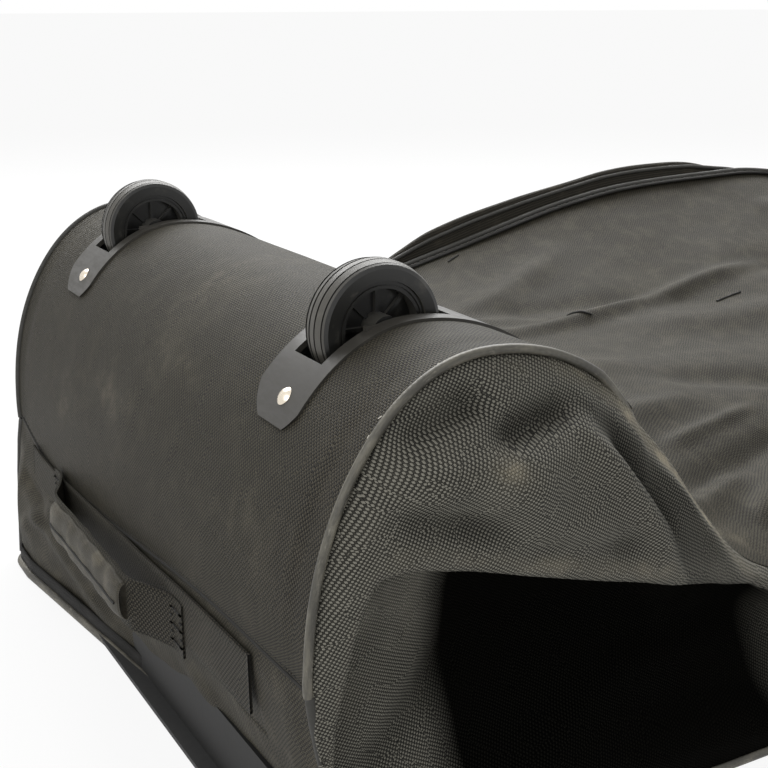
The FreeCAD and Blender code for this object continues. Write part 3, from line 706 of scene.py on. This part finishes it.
# Folds of the cloths: start and end in the cloth's own plane, width, height and bow
RIGHT_FOLDS = (
    (-388, 244, -330, 262, 8, -13, 3), (-344, 240, -280, 250, 7, -9, 2), (-388, 226, -300, 216, 12, 9, 4),
    (-396, 214, -318, 196, 9, -6, 0), (-352, 222, -262, 178, 12, 6, -4), (-300, 250, -224, 150, 6, 5, 2),
    (-272, 240, -216, 164, 6, -6, 0), (-238, 214, -168, 136, 6, 4, 0), (-340, 190, -240, 168, 8, -5, 3),
    (-410, 60, -300, 120, 14, -6, 0), (-300, 40, -120, 70, 12, 5, 6), (-60, 40, 140, 60, 12, 5, -6),
    (120, 30, 360, 70, 14, -5, 0), (20, 84, 250, 92, 8, 4, 0), (200, 60, 400, 110, 10, 5, 4)
)
LEFT_FOLDS = (
    (-400, 90, -300, 180, 14, 6, 5), (-410, 60, -330, 110, 10, -5, 0), (-300, 230, -150, 120, 13, 6, 8),
    (-240, 200, -130, 60, 11, -6, 0), (-120, 170, -60, 60, 12, 5, 0), (-60, 30, 160, 44, 10, 4, 5),
    (140, 36, 360, 52, 11, -4, 0), (330, 200, 400, 70, 13, 6, 4)
)
BACK_FOLDS = (
    (-140, 72, 240, 118, 9, 7, 3), (-104, -214, -6, -150, 9, 10, 0), (-120, -140, 10, -95, 6, 4, 4),
    (-190, -60, -20, 0, 20, 5, 8), (-215, -150, -20, -70, 13, 6, 8), (-150, -190, 30, -120, 11, -7, 6),
    (-200, 40, -40, 120, 16, 6, 10), (-60, -30, 150, -110, 16, -6, 8), (0, 60, 250, 10, 22, 7, 10),
    (-90, 130, 120, 90, 13, -4, 8), (80, -170, 330, -120, 15, 6, 12), (160, 120, 380, 60, 20, -6, 10),
    (200, -60, 400, -20, 18, 6, -10), (-170, 120, 60, 200, 14, 5, -6), (-235, -120, -120, -100, 9, 4, 0),
    (-232, 90, -120, 60, 10, -4, 0), (-175, -225, -60, -150, 8, 5, 0), (280, 200, 410, 150, 14, 5, 0)
)

GUSSET_FOLDS = (
    (60, 20, 220, 70, 9, 4, 4), (-200, 30, -60, 60, 9, 4, -4), (120, 90, 235, 30, 8, 4, 0),
    (-20, 18, 120, 40, 8, -3.5, 0), (150, 60, 236, 84, 7, -3.5, 0)
)
FAR_FOLDS = ((-200, 30, -60, 60, 10, 3, 4), (60, 170, 220, 60, 12, 3, 6), (-210, 120, -90, 150, 10, -3, 0))


def side_grid_right(nu=520, nv=190):
    """Points of the right side, and the height of its fold at each station along the seam."""
    seam = seam_line(-1, nu)
    xs = np.clip(seam[:, 0], FRONT_X, END_X)
    rows, folds = [], []
    for (x, top), (b, f, t, c) in zip(seam, curve(RIGHT, xs)):
        f = min(f, top - 7)
        h = top - f
        c = min(max(c, 0.12), 0.93)
        pts = [(0.0, top), (b * 0.30, top - h * c * 0.25), (b * 0.92, top - h * c * 0.88),
               (b, top - h * c), (b * 1.02, top - h * (c + (0.97 - c) * 0.5)), (b * 0.98, f + h * 0.03),
               (b * 0.84, f - 2.5), (b * 0.30, f - 6), (-t * 0.6, f - 9), (-t, f * 0.72),
               (-t * 0.55, f * 0.38), (4 - t * 0.05, f * 0.16 + 5), (2.0, 7.0)]
        y = float(seam_y(-1, x, top))
        rows.append([(x, (y if k < 9 else -HALF_W) - o, z) for k, (o, z) in enumerate(pts)])
        folds.append(f)
    out = np.array([smooth_line(r, nv) for r in rows])
    out[..., 0] += front_shift(-1, out[..., 0], out[..., 2])
    return out, np.array(folds)[:, None]


def slacken(p, n, folds, edge):
    """Adds folds and loose slack to a side's points; also says how hollow each one became."""
    d = ridges(p[..., [0, 2]], folds)
    d = d + 2.4 * noise(p, 85.0, 3.1) + 1.1 * noise(p, 36.0, 7.7) + 0.35 * noise(p, 15.0, 1.3)
    return p + n * (d * edge)[..., None], unit(-d / 9) * edge


def right_wear_and_shade(p, hollow, fold_z):
    """Rubbed crest and smear, and a paler band along the fold; painted shade in the fold hollows and
    on the facet behind the crease, and painted shadow that blackens the undercut below the fold.
    """
    x, _, z = np.moveaxis(p, -1, 0)
    top = seam_line(-1, p.shape[0])[:, 1][:, None]
    crest = bell(top - z, 5, 5) * bell(x, -215, 50)
    low = bell(z, fold_z + 6, 6) * bell(x, -290, 90)
    smear = bell(x, -340, 7) * bell(z, 232, 5)
    crease_x = -223 - (z - 148) * 0.64
    # The facet behind this crease is painted darker: painted shade.
    facet = unit((x - crease_x) / 5) * unit((-150 - x) / 40) * unit((top - z - 10) / 8)
    # Painted shadow: the cloth in the undercut below the fold is painted near black.
    under = unit((fold_z - 3 - z) / 8) * unit((x + 352) / 24) * unit((-60 - x) / 60)
    # The hollow and facet terms are painted shade, darkening the cloth's colour.
    wear_and_shade = 0.04 + 1.9 * crest + 0.35 * low + smear - 0.6 * hollow - 0.45 * facet
    return wear_and_shade * (1 - under) - 0.97 * under


def make_right_side():
    p, fold_z = side_grid_right()
    u, v = shares_grid(*(np.linspace(0, 1, count) for count in p.shape[:2]))
    p, hollow = slacken(p, normals(p, 1, -1), RIGHT_FOLDS, hem(v, 0.08) * hem(u, 0.03))
    x, _, z = np.moveaxis(p, -1, 0)
    turn = math.radians(-14)            # the weave runs down towards the handle end
    weave = np.stack([x * math.cos(turn) - z * math.sin(turn), x * math.sin(turn) + z * math.cos(turn)], -1)
    side = cloth("side_cloth_right", p, COARSE, 1.8, wear_and_shade=right_wear_and_shade(p, hollow, fold_z), uv=weave + 1000,
                 flip=True)
    attach(side, "bag", "coarse_canvas", "side_panel_right")


# x on the seam, bulge of the left side
LEFT = np.array([
    (-424, 9), (-405, 13), (-385, 17), (-355, 24), (-320, 34), (-219, 44), (-118, 46), (60, 46), (310, 44),
    (390, 24), (425, 1)
], float)


def left_point(x, top, b, v):
    """A point of the left side: v runs from the top seam (0) to the ground seam (1)."""
    knots = np.array([(0, 0.0, 1.0), (0.08, 0.33, 0.955), (0.22, 0.82, 0.82), (0.45, 1.0, 0.58),
                      (0.72, 0.62, 0.27), (0.9, 0.2, 0.08), (1, 0.02, 0.0)])
    o, h = curve(knots, v).T
    start = float(seam_y(1, x, top)) - HALF_W
    return np.stack([x + 0 * o, HALF_W + 3 + start * h + b * o, 7 + (top - 7) * h], -1)


def left_grid(nu=420, nv=150):
    seam = seam_line(1, nu)
    bulge = curve(LEFT, np.clip(seam[:, 0], FRONT_X, END_X))[:, 0]
    v = np.linspace(0, 1, nv)
    p = np.array([left_point(x, top, b, v) for (x, top), b in zip(seam, bulge)])
    p[..., 0] += front_shift(1, p[..., 0], p[..., 2])
    edge = unit(v / 0.08) * unit((1 - v) / 0.1) * hem(np.linspace(0, 1, nu)[:, None], 0.03)
    return slacken(p, normals(p, 1, 1), LEFT_FOLDS, edge)[0]


# Door outline in (x, z), from its hinge up the wheel-end leg, over and down
DOOR = ((-112, 52), (-112, 138), (60, 222), (105, 240), (300, 240), (345, 190), (345, 52))
DOOR_CENTRE = (116, 140)
TAPE_OFFSET = 4.2                       # from the coil to the middle of each tape
TAPE_FOOT_Z, COIL_FOOT_Z = 64, 66       # the zip stops short of the hinge, so that the door can open


def inside(plane, outline):
    """Whether each point of a plane is inside a closed outline."""
    x, z = plane[..., 0], plane[..., 1]
    hit = np.zeros(x.shape, bool)
    for (x0, z0), (x1, z1) in zip(outline, outline[1:] + outline[:1]):
        if z0 == z1:
            continue
        cross = ((z0 > z) != (z1 > z)) & (x < (x1 - x0) * (z - z0) / (z1 - z0) + x0)
        hit ^= cross
    return hit


def on_surface(p, x, z):
    """Outer y of the left side near x and z, from its grid."""
    d = (p[..., 0] - x) ** 2 + (p[..., 2] - z) ** 2
    k = np.argsort(d.ravel())[:4]
    w = 1 / (d.ravel()[k] + 1e-3)
    return float((p[..., 1].ravel()[k] * w).sum() / w.sum())


def rounded(points, count, radius):
    """An open outline with its corners eased."""
    points = np.array(points, float)
    line = [points[0]]
    for a, p, b in zip(points, points[1:], points[2:]):
        line += [p + (a - p) * radius, p + (a - p) * radius * 0.45, p + (b - p) * radius * 0.45,
                 p + (b - p) * radius]
    return even(line + [points[-1]], count)


def zip_line(p, outline, foot_z, lift):
    """The part of an outline above foot_z, laid on the left side and lifted off it."""
    return eased([(x, on_surface(p, x, z) + lift, z) for x, z in outline if z > foot_z])


def make_zip(p):
    """Tapes on the door and on the side, and the coil between them."""
    outline = rounded(DOOR, 420, 0.1)
    away = outline - DOOR_CENTRE
    away /= np.linalg.norm(away, axis=1, keepdims=True)
    facing = (0, 1, 0.35)
    tapes = (("door", "door_zip_tape", -TAPE_OFFSET), ("bag", "panel_zip_tape", TAPE_OFFSET))
    for body, node, offset in tapes:
        path = zip_line(p, outline + away * offset, TAPE_FOOT_Z, 1.1)
        tape = sweep("zip_tape_" + body, path, strip((-4.0, 4.0), -0.5, 0.4), facing, TAPE)
        attach(tape, body, "zip_tape", node)
    coil = sweep("zip_coil", zip_line(p, outline, COIL_FOOT_Z, 1.9), circle(1.5, 8, 0.7), facing, ZIP_COIL)
    attach(coil, "door", "zip_metal")


def make_left_side():
    p = left_grid()
    door = inside(p[..., [0, 2]], DOOR)
    for name, keep, body, node in (("side_cloth_left", ~door, "bag", "side_panel_left"),
                                   ("door_cloth", door, "door", "side_door")):
        # Painted shade: the whole left side and its door are blended 45% towards near black, with less sheen
        # and shine.
        piece = cloth(name, p, COARSE, 1.8, keep=keep, wear_and_shade=np.full(door.shape, -0.45))
        attach(piece, body, "coarse_canvas", node)
    make_zip(p)


# ---------------------------------------------------------------- back panel
def back_z(x, s):
    """Height of the slumped back panel before its folds, at share s across."""
    h = curve(SEAM, np.ravel(x)).reshape(np.shape(x) + (3,))
    edge = np.where(s < 0, h[..., 0], h[..., 1])
    return h[..., 2] + (edge - h[..., 2]) * np.abs(s) ** 1.7


def make_back_panel():
    x, s = shares_grid(np.linspace(JOIN_X - 1.5, END_X, 420), np.linspace(-FAR_SHARE, FAR_SHARE, 360))
    right, left = seam_y(-1, x, 230.0), seam_y(1, x, 230.0)
    y = right + (left - right) * (s + 1) / 2
    p = np.stack([x, y, back_z(x, s)], -1)
    d = ridges(p[..., :2], BACK_FOLDS)
    d = d + 4.0 * noise(p, 120.0, 2.2) + 1.4 * noise(p, 48.0, 9.0) + 0.35 * noise(p, 18.0, 4.0)
    p[..., 2] += d * unit((1 - np.abs(s)) / 0.1) * unit((x - JOIN_X) / 22) * unit((END_X - x) / 22)
    wear_and_shade = 0.10 + 0.3 * bell(y, -232, 12) * bell(x, -190, 60)
    attach(cloth("back_cloth", p, CANVAS, 1.8, wear_and_shade=wear_and_shade), "bag", "canvas", "back_panel")
    return p


# ---------------------------------------------------------------- ends and ground
def make_gusset():
    """Soft panel between the stiff end and the ground, behind the handle."""
    s, t = shares_grid(np.linspace(-SEAM_SHARE, SEAM_SHARE, 260), np.linspace(0, 1, 90))
    foot_x, foot_z = arch(FOOT_ANGLE)
    right, left = seam_y(-1, foot_x, foot_z), seam_y(1, foot_x, foot_z)
    y = (right + (left - right) * (s + 1) / 2) * (1 - t) + s * HALF_W * t
    for side in (-1, 1):
        y = y + side * corner_swell(side, t) * unit((side * s - 0.6) / 0.4)
    top_z = foot_height(y)
    bow = np.sin(np.pi * t) * (4 + 5 * unit(y / 240) ** 2) * unit((SEAM_SHARE - np.abs(s)) / 0.09)
    x = foot_x + (ground_front(y) - foot_x) * t ** 1.4 - bow
    p = np.stack([x, y, top_z + (5.5 - top_z) * t], -1)
    d = ridges(p[..., 1:], GUSSET_FOLDS) + 1.8 * noise(p, 60.0, 6.0) + 0.7 * noise(p, 24.0, 2.0)
    behind_band = (np.abs(y) < 202) & (p[..., 2] > 78)
    d = np.where(behind_band, np.minimum(d, 0.4), d)
    p = p + normals(p, 0, -1) * (d * hem(t, 0.08) * unit((1 - np.abs(s)) / 0.06))[..., None]
    gusset = cloth("gusset_cloth", p, CANVAS, 1.8, wear_and_shade=np.full(t.shape, 0.12), flip=True)
    attach(gusset, "bag", "canvas", "handle_end_gusset")


def make_pull_end():
    """Cloth of the far end, kept flat behind its handle."""
    s, t = shares_grid(np.linspace(-FAR_SHARE, FAR_SHARE, 240), np.linspace(0, 1, 110))
    y = s * HALF_W
    top = back_z(np.full(s.shape, END_X), s)
    z = top + (7 - top) * t
    p = np.stack([END_X + 2 + 3.0 * np.sin(np.pi * t), y, z], -1)
    d = 1.6 * noise(p, 70.0, 1.0) + 0.6 * noise(p, 26.0, 2.0) + ridges(p[..., 1:], FAR_FOLDS)
    handle_z = 98
    d = np.where((np.abs(y) < 206) & (np.abs(z - handle_z) < 24), np.minimum(d, 0), d)
    flat = bell(z, handle_z, 30)
    edge = hem(t, 0.08) * unit((1 - np.abs(s)) / 0.06)
    p[..., 0] += np.clip(d, -2, 3) * edge * (1 - flat) - 3.0 * np.sin(np.pi * t) * flat
    end = cloth("pull_end_cloth", p, CANVAS, 1.8, wear_and_shade=np.full(t.shape, 0.1))
    attach(end, "bag", "canvas", "pull_end_panel")


def ground_outline(grow, radius, count=900):
    """The ground panel's outline in (x, y), grown by some mm, with its front drawn in."""
    (x0, y0), (x1, y1) = GROUND_LOW[:2] - grow, GROUND_HIGH[:2] + grow
    left, right, low, high = x0 + radius, x1 - radius, y0 + radius, y1 - radius
    pts = []
    for cx, cy, start in ((right, high, 0), (left, high, 90), (left, low, 180), (right, low, 270)):
        for a in np.radians(np.linspace(start, start + 90, 9)):
            pts.append((cx + radius * math.cos(a), cy + radius * math.sin(a)))
    line = even(pts + pts[:1], count)
    line[:, 0] = setback(*line.T)
    return line


def make_ground():
    """Ground panel, the cord round it and the tape of its closed opening."""
    rim = ground_outline(0.5, 20)
    lift = 3.3 + 0.5 * (noise(np.c_[rim, rim[:, :1] * 0], 70.0) * 0.5 + 0.5)
    seam = sweep("ground_piping_cord", np.c_[rim, lift], circle(3.1, 12), (0, 0, 1), PIPE, caps=False)
    attach(seam, "bag", "piping", "ground_piping")
    middle, half = (GROUND_LOW + GROUND_HIGH) / 2, (GROUND_HIGH - GROUND_LOW) / 2
    gx, gy = shares_grid(np.linspace(-1, 1, 60), np.linspace(-1, 1, 60))
    y = middle[1] + gy * half[1] * 0.992
    x = setback(middle[0] + gx * half[0] * 0.995, y)
    ground = cloth("ground_cloth", np.stack([x, y, np.full(x.shape, 2.6)], -1), CANVAS, 1.6,
                   wear_and_shade=np.full(x.shape, 0.3))
    attach(ground, "bag", "canvas", "ground_panel")
    line = ground_outline(-0.5, 18)
    line = np.c_[line, np.full(len(line), 11.0)]
    tape = sweep("ground_zip_tape", line, strip((-0.9, 0.6), -5, 5), (0, 0, 1), TAPE, caps=False)
    attach(tape, "bag", "zip_tape")


# ---------------------------------------------------------------- piping
def seam_path(side, lift=2.0, out=0.8):
    """Line of a side's top seam, lifted and moved outwards; it tucks under the folded edge."""
    x, z = seam_line(side, 520, lift).T
    y = seam_y(side, x, z) + side * out
    low = unit((150 - z) / 32) * unit((-400 - x) / 20)
    z = z + (foot_height(y) - FOOT_Z) * low ** 1.5
    under = unit((x + 262) / 26) * unit((-50 - x) / 50) * (side < 0)
    return np.c_[x, y + 5.0 * under, z - 5.0 * under]


def make_piping():
    """Cord along each top seam, the flange it is sewn in by, and the stitches."""
    for side, name, material in ((-1, "right", PIPE), (1, "left", PIPE_FLAT)):
        path = seam_path(side)
        wander = 0.7 * noise(path, 40.0, 3.0)
        path[:, 1] += wander
        cord = sweep("piping_cord_" + name, path, circle(2.35, 16), (0, -side, 0.2), material)
        attach(cord, "bag", "piping", "piping_" + name)
        base = seam_path(side, 0.3, -4.2)
        base[:, 1] += wander * 0.7
        flange = sweep("piping_flange_" + name, base, strip((-0.7, 0.9), -3.2, 2.4), (0, side, 0), THREAD)
        attach(flange, "bag", "piping")
        make_stitches("piping_stitches_" + name, base, side, frames(path, (0, -side, 0.0))[0])


def upright_cord(name, side, path, radius):
    attach(sweep(name, path, circle(radius, 12), (0, side, 0), PIPE_FLAT), "bag", "piping")


def make_corners():
    """Corded upright seams at the four corners of the bag."""
    count = 60
    foot_x, foot_z = arch(FOOT_ANGLE)
    for side, name in ((-1, "right"), (1, "left")):
        z = np.linspace(6, curve(SEAM, [END_X])[0, 0 if side < 0 else 1] + 1, count)
        path = np.c_[np.full(count, END_X + 1.5), np.full(count, side * (HALF_W + 0.5)), z]
        upright_cord("far_corner_cord_" + name, side, path, 3.0)
        y = float(seam_y(side, foot_x, foot_z)) + side * 0.5
        z = np.linspace(float(foot_height(y)), 5, count)
        t = (z[0] - z) / (z[0] - 5)
        x = foot_x + (ground_front(side * HALF_W) - foot_x) * t ** 1.4 - 1.0
        path = np.c_[x, y + (side * HALF_W - y) * t + side * corner_swell(side, t), z]
        upright_cord("near_corner_cord_" + name, side, path, 2.6)


def make_foot_seam():
    """Bead and stitches where the stiff end meets the handle band."""
    share = np.linspace(-0.99, 0.99, 400)
    path = arch_surface(np.full(400, FOOT_ANGLE - 1.0), share) + np.array([-1.4, 0, 0.3])
    attach(sweep("foot_seam_bead", path, circle(1.3, 10), (0, 0, 1), TAPE), "bag", "zip_tape")
    raised = path + np.array([-0.6, 0, 2.6])
    stitches = [sweep("stitch", raised[k - 1:k + 2], circle(0.45, 6), (0, 0, 1), THREAD)
                for k in range(4, 396, 4)]
    attach(join("foot_seam_stitches", stitches), "bag", "zip_tape")


def make_stitches(name, base, side, tangent):
    """A row of sewn threads beside the piping; some of the right side's are frayed."""
    corners, frayed = [], []
    d = run_length(base)
    n = np.stack([np.gradient(base[:, 2]), 0 * d, -np.gradient(base[:, 0])], 1)
    n /= np.linalg.norm(n, axis=1, keepdims=True)
    n = n * np.sign(n[len(n) // 3, 2])
    across = np.array([0, -side, 0.0])
    for spot in np.arange(6.0, d[-1] - 6, 4.4):
        k = np.clip(np.searchsorted(d, spot), 1, len(base) - 2)
        at, t = base[k] + n[k] * 1.2, tangent[k]
        length, wide, high = 1.35, 0.42, 0.35
        loose = side < 0 and RNG.rand() < 0.42 and -390 < at[0] < -236
        if loose:
            swing = RNG.uniform(-0.9, 0.9)
            t = t * math.cos(swing) + across * math.sin(swing)
            length, high = RNG.uniform(0.7, 1.5), 0.5
            at = at + across * RNG.uniform(-0.6, 0.6)
        w = np.cross(n[k], t)
        corners.append([at + t * length * i + w * wide * j + n[k] * high * h
                        for i in (-1, 1) for j in (-1, 1) for h in (0, 1)])
        frayed += [int(loose)] * len(CUBE_FACES)
    ob = blocks(name, corners, STITCH)
    ob.data.materials.append(FRAY)
    ob.data.polygons.foreach_set("material_index", frayed)
    attach(ob, "bag", "piping")


# ---------------------------------------------------------------- handles
def soft_section(wide, thick, count, power=2.6):
    """A rounded rectangle's outline."""
    a = np.linspace(0, 2 * math.pi, count, endpoint=False)
    c, s = np.cos(a), np.sin(a)
    r = (np.abs(c) ** power + np.abs(s) ** power) ** (-1 / power)
    return np.stack([wide / 2 * r * c, thick / 2 * r * s], 1)


def measure_handle(end, name):
    """What the pieces of one handle share; end is -1 at the wheels and 1 at the far end."""
    low, high = mm_box(name + "_handle_webbing")
    grip_low, grip_high = mm_box(name + "_handle_grip")
    band_low, band_high = mm_box(name + "_handle_band")
    _, mid_y, mid_z = (low + high) / 2
    _, reach, half_wide = (high - low) / 2
    return SimpleNamespace(
        name=name, end=end, body=name + "_handle", out=(end, 0, 0), mid_y=mid_y, mid_z=mid_z, reach=reach,
        wide=2 * half_wide, band_x=band_low[0] if end < 0 else band_high[0],
        band_y=(band_low[1], band_high[1]), band_z=(band_low[2] + band_high[2]) / 2,
        grip_x=(grip_low[0] + grip_high[0]) / 2, grip_half=(grip_high[1] - grip_low[1]) / 2)


def strap_section(wide):
    """Outline of a flat strap, with points along its sides."""
    corners = strip((-wide / 2, wide / 2), -0.8, 0.8)
    return np.concatenate([np.linspace(corners[k], corners[(k + 1) % 4], 9)[:-1] for k in range(4)])


def make_band(h, count=140):
    path = np.array([(h.band_x - h.end * 0.4, y, h.band_z) for y in np.linspace(*h.band_y, count)])
    path[:, 0] += h.end * (0.7 + 0.6 * noise(path, 50.0))
    path[:, 2] += 1.2 * noise(path, 90.0, 4.0)
    if h.end < 0:
        path[:, 2] += 0.55 * (foot_height(path[:, 1]) - FOOT_Z + 6)
    band = sweep(h.name + "_band", path, strap_section(h.wide), h.out, WEB)
    attach(band, "bag", "webbing", h.name + "_handle_band")


def make_loop(h):
    """Webbing that stands off the band between its two sewn ends; its centre line is returned."""
    off, reach, half = abs(h.grip_x - h.band_x), h.reach, h.grip_half
    rise = [(-reach, 1.6), (-reach + 14, 1.7), (-half - 18, off * 0.55), (-half - 2, off * 0.97),
            (-half * 0.5, off)]
    keys = rise + [(-y, o) for y, o in rise[::-1]]
    line = smooth_line([(h.band_x + h.end * o, h.mid_y + y, h.mid_z) for y, o in keys], 200)
    line[:, 2] += 0.8 * noise(line, 60.0, 2.0)
    loop = sweep(h.name + "_loop", line, strap_section(h.wide), h.out, WEB)
    attach(loop, h.body, "webbing", h.name + "_handle_webbing")
    return line


def grip_ring(y, half, wide, count=44):
    """Section of the wrapped grip at y: drawn in at its ends, wrinkled, with one seam."""
    share = abs(y) / half
    full = 1.0 - 0.10 * share ** 6
    if share > 0.985:
        full *= 0.93
    a = np.linspace(0, 2 * math.pi, count, endpoint=False)
    wrinkle = 0.55 * np.sin(y / 5.2 + 2.4 * np.sin(a) + 1.1 * math.sin(y / 31))
    wrinkle = wrinkle * (0.4 + 0.6 * abs(math.sin(y / 23)))
    ring = soft_section(wide * 0.84 * full, 12.0 * full, count) * (1 + wrinkle[:, None] * 0.07)
    ring[:, 1] += 0.035 * math.sin(y / 9.0) * ring[:, 0]
    return ring * (1 - 0.10 * bell(a, 3.7, 0.09)[:, None])


def make_grip(h, line):
    ys = np.linspace(-h.grip_half, h.grip_half, 180)
    y = ys + h.mid_y
    path = np.c_[np.interp(y, line[:, 1], line[:, 0]) + h.end * 0.3, y, np.interp(y, line[:, 1], line[:, 2])]
    rings = np.array([grip_ring(y, h.grip_half, h.wide) for y in ys])
    grip = sweep(h.name + "_grip", path, rings, h.out, GRIP, wear_and_shade=np.full(len(ys), 0.3))
    attach(grip, h.body, "grip_twill", h.name + "_handle_grip")
    crest = path[6:-6] + np.array([h.end * 6.1, 0, -1.5])
    welt = sweep(h.name + "_grip_welt", crest, circle(0.8, 8), h.out, THREAD)
    attach(welt, h.body, "grip_twill")


def make_tacks(h):
    """Sewn boxes, each with a middle row, that hold the ends of the loop to the band."""
    spots = [(dy, dz) for dz in (-10, 0, 10) for dy in np.linspace(-7, 7, 5)]
    spots += [(dy, dz) for dz in np.linspace(-10, 10, 5) for dy in (-7, 7)]
    corners = [[(h.band_x + h.end * (3.0 + x), h.mid_y + side * (h.reach - 8) + dy + y, h.mid_z + dz + z)
                for x in (-0.5, 0.35) for y in (-1.3, 1.3) for z in (-0.35, 0.35)]
               for side in (-1, 1) for dy, dz in spots]
    attach(blocks(h.name + "_tacks", corners, THREAD), "bag", "webbing")


def make_handle(end, name):
    """Band, loop, wrapped grip and sewn tacks at one end of the bag."""
    h = measure_handle(end, name)
    make_band(h)
    make_grip(h, make_loop(h))
    make_tacks(h)


# ---------------------------------------------------------------- the far side's raised edge
# The raised edge along x: its height, and how far it leans out
RAISED_EDGE = np.array([
    (-120, 190, 0), (-81, 213, 2), (-45, 230, 4), (41, 251, 6), (110, 263, 7), (150, 270, 8), (205, 274, 8),
    (250, 273, 7), (290, 265, 4), (322, 259, 0)
], float)
# Its section from the seam over the crest: out, and share of its height
RAISED_SECTION = (
    (0, 0), (1.5, .2), (2.5, .42), (3.0, .62), (3.4, .8), (4.4, .95), (6.6, 1.0), (9.0, .95), (10.6, .78)
)


def make_raised_edge():
    """Bound upper edge of the left side that stands above the back panel's seam."""
    xs = np.linspace(-118, 320, 280)
    crest, lean = curve(RAISED_EDGE, xs).T
    seam = curve(SEAM, xs)[:, 1] - 2
    crest = np.maximum(crest, seam + 1.0)
    p = np.stack([np.c_[xs, HALF_W + 2 + lean * 0.35 + out, seam + (crest - seam) * share]
                  for out, share in RAISED_SECTION], 1)
    p = np.array([smooth_line(row, 24) for row in p])
    p[..., 2] += 0.7 * noise(p, 55.0, 8.0)
    attach(cloth("raised_edge", p, EDGE, 2.2), "bag", "zip_tape")
    top = p[4:-4, 11] + np.array([0, 0, 1.0])
    attach(sweep("raised_edge_binding", top, circle(1.9, 12), (0, 0, 1), PIPE_FLAT), "bag", "piping")


# ---------------------------------------------------------------- small sewn details
def make_tabs(back):
    """Bar tacks on the back panel, each with a loose thread end."""
    objects = []
    for x, y, length, turn in ((-38, 234, 14, 20), (-6, 92, 20, -32), (142, 76, 30, 6)):
        a = math.radians(turn)
        s = np.linspace(-length / 2, length / 2, 12)
        path = np.c_[x + s * math.cos(a), y + s * math.sin(a), 0 * s]
        for q in path:
            d = (back[..., 0] - q[0]) ** 2 + (back[..., 1] - q[1]) ** 2
            q[2] = back[np.unravel_index(np.argmin(d), d.shape)][2] + 0.5
        s = np.linspace(0, 1, 8)
        tail = path[-1] + np.c_[s * 3.0, s * 5.0 * math.sin(a + 1), 2.2 * s * (1 - s)]
        objects.append(sweep("bar", path, circle(0.9, 8), (0, 0, 1), THREAD))
        objects.append(sweep("tail", tail, circle(0.35, 6), (0, 0, 1), THREAD))
    attach(join("bar_tacks", objects), "bag", "webbing")


make_arch_panel()
make_right_side()
make_left_side()
back_grid = make_back_panel()
make_gusset()
make_pull_end()
make_ground()
make_piping()
make_foot_seam()
make_corners()
make_handle(-1, "wheel_end")
make_handle(1, "pull_end")
make_raised_edge()
make_tabs(back_grid)


# ---------------------------------------------------------------- room, light and camera
WORLD_LIGHT = 0.55
CAMERA_AT = (-0.6462, -0.7215, 0.4289)
CAMERA_ANGLES = (60.64, 16.65)          # degrees: turn from +X, and how far down it looks
CAMERA_LENS = 60.4


def mix_by_ray(n, lit, seen, share, output):
    """Shows one shader to the camera, to mirrors and to glass, and the other to the light."""
    rays = n.node("LightPath").outputs
    ray = n.math("MAXIMUM", rays["Is Camera Ray"], rays["Is Glossy Ray"])
    ray = n.times(n.math("MAXIMUM", ray, rays["Is Transmission Ray"]), share)
    mix = n.node("MixShader")
    for socket, source in zip(mix.inputs, (ray, lit, seen)):
        n.link(source, socket)
    n.link(mix.outputs[0], output.inputs[0])


def make_room():
    """A pale floor and a white world."""
    me = bpy.data.meshes.new("floor")
    me.from_pydata([(-40, -40, 0), (40, -40, 0), (40, 40, 0), (-40, 40, 0)], [], [(0, 1, 2, 3)])
    floor = bpy.data.objects.new("floor", me)
    bpy.context.scene.collection.objects.link(floor)
    n = Nodes("floor_paint")
    n.set(Base_Color=(0.8, 0.8, 0.8), Roughness=0.9, Specular_IOR_Level=0.1)
    bright = n.node("Emission")
    bright.inputs["Strength"].default_value = 1.0
    mix_by_ray(n, n.bsdf.outputs[0], bright.outputs[0], 0.9, n.tree.nodes["Material Output"])
    me.materials.append(n.mat)
    world = bpy.data.worlds.new("room")
    bpy.context.scene.world = world
    n = Nodes("room", world)
    n.tree.nodes.clear()
    shades = []
    for colour, strength in (((1, 0.995, 0.985), WORLD_LIGHT), ((1, 1, 1), 1.0)):
        shade = n.node("Background")
        n.give(shade.inputs["Color"], colour)
        n.give(shade.inputs["Strength"], strength)
        shades.append(shade.outputs[0])
    mix_by_ray(n, *shades, 1.0, n.node("OutputWorld"))


def area(name, at, towards, size, power):
    light = bpy.data.lights.new(name, "AREA")
    light.shape = "RECTANGLE"
    light.size, light.size_y = size
    light.energy = power
    ob = bpy.data.objects.new(name, light)
    ob.location = at
    ob.rotation_euler = (Vector(towards) - Vector(at)).to_track_quat("-Z", "Y").to_euler()
    bpy.context.scene.collection.objects.link(ob)


def make_camera():
    yaw, pitch = (math.radians(angle) for angle in CAMERA_ANGLES)
    forward = Vector((math.cos(pitch) * math.cos(yaw), math.cos(pitch) * math.sin(yaw), -math.sin(pitch)))
    right = forward.cross(Vector((0, 0, 1))).normalized()
    up = right.cross(forward)
    cam = bpy.data.cameras.new("camera")
    cam.sensor_width = 36.0
    cam.lens = CAMERA_LENS
    cam.clip_start, cam.clip_end = 0.01, 100.0
    ob = bpy.data.objects.new("camera", cam)
    m = Matrix((right, up, -forward)).transposed().to_4x4()
    m.translation = Vector(CAMERA_AT)
    ob.matrix_world = m
    bpy.context.scene.collection.objects.link(ob)
    bpy.context.scene.camera = ob


make_room()
area("key", (0.5, 1.5, 1.9), (-0.1, 0, 0.1), (2.6, 1.4), 95)
area("fill", (-2.0, -0.9, 1.4), (-0.3, 0, 0.15), (1.6, 1.4), 16)
make_camera()
bpy.context.scene.view_settings.view_transform = "Standard"
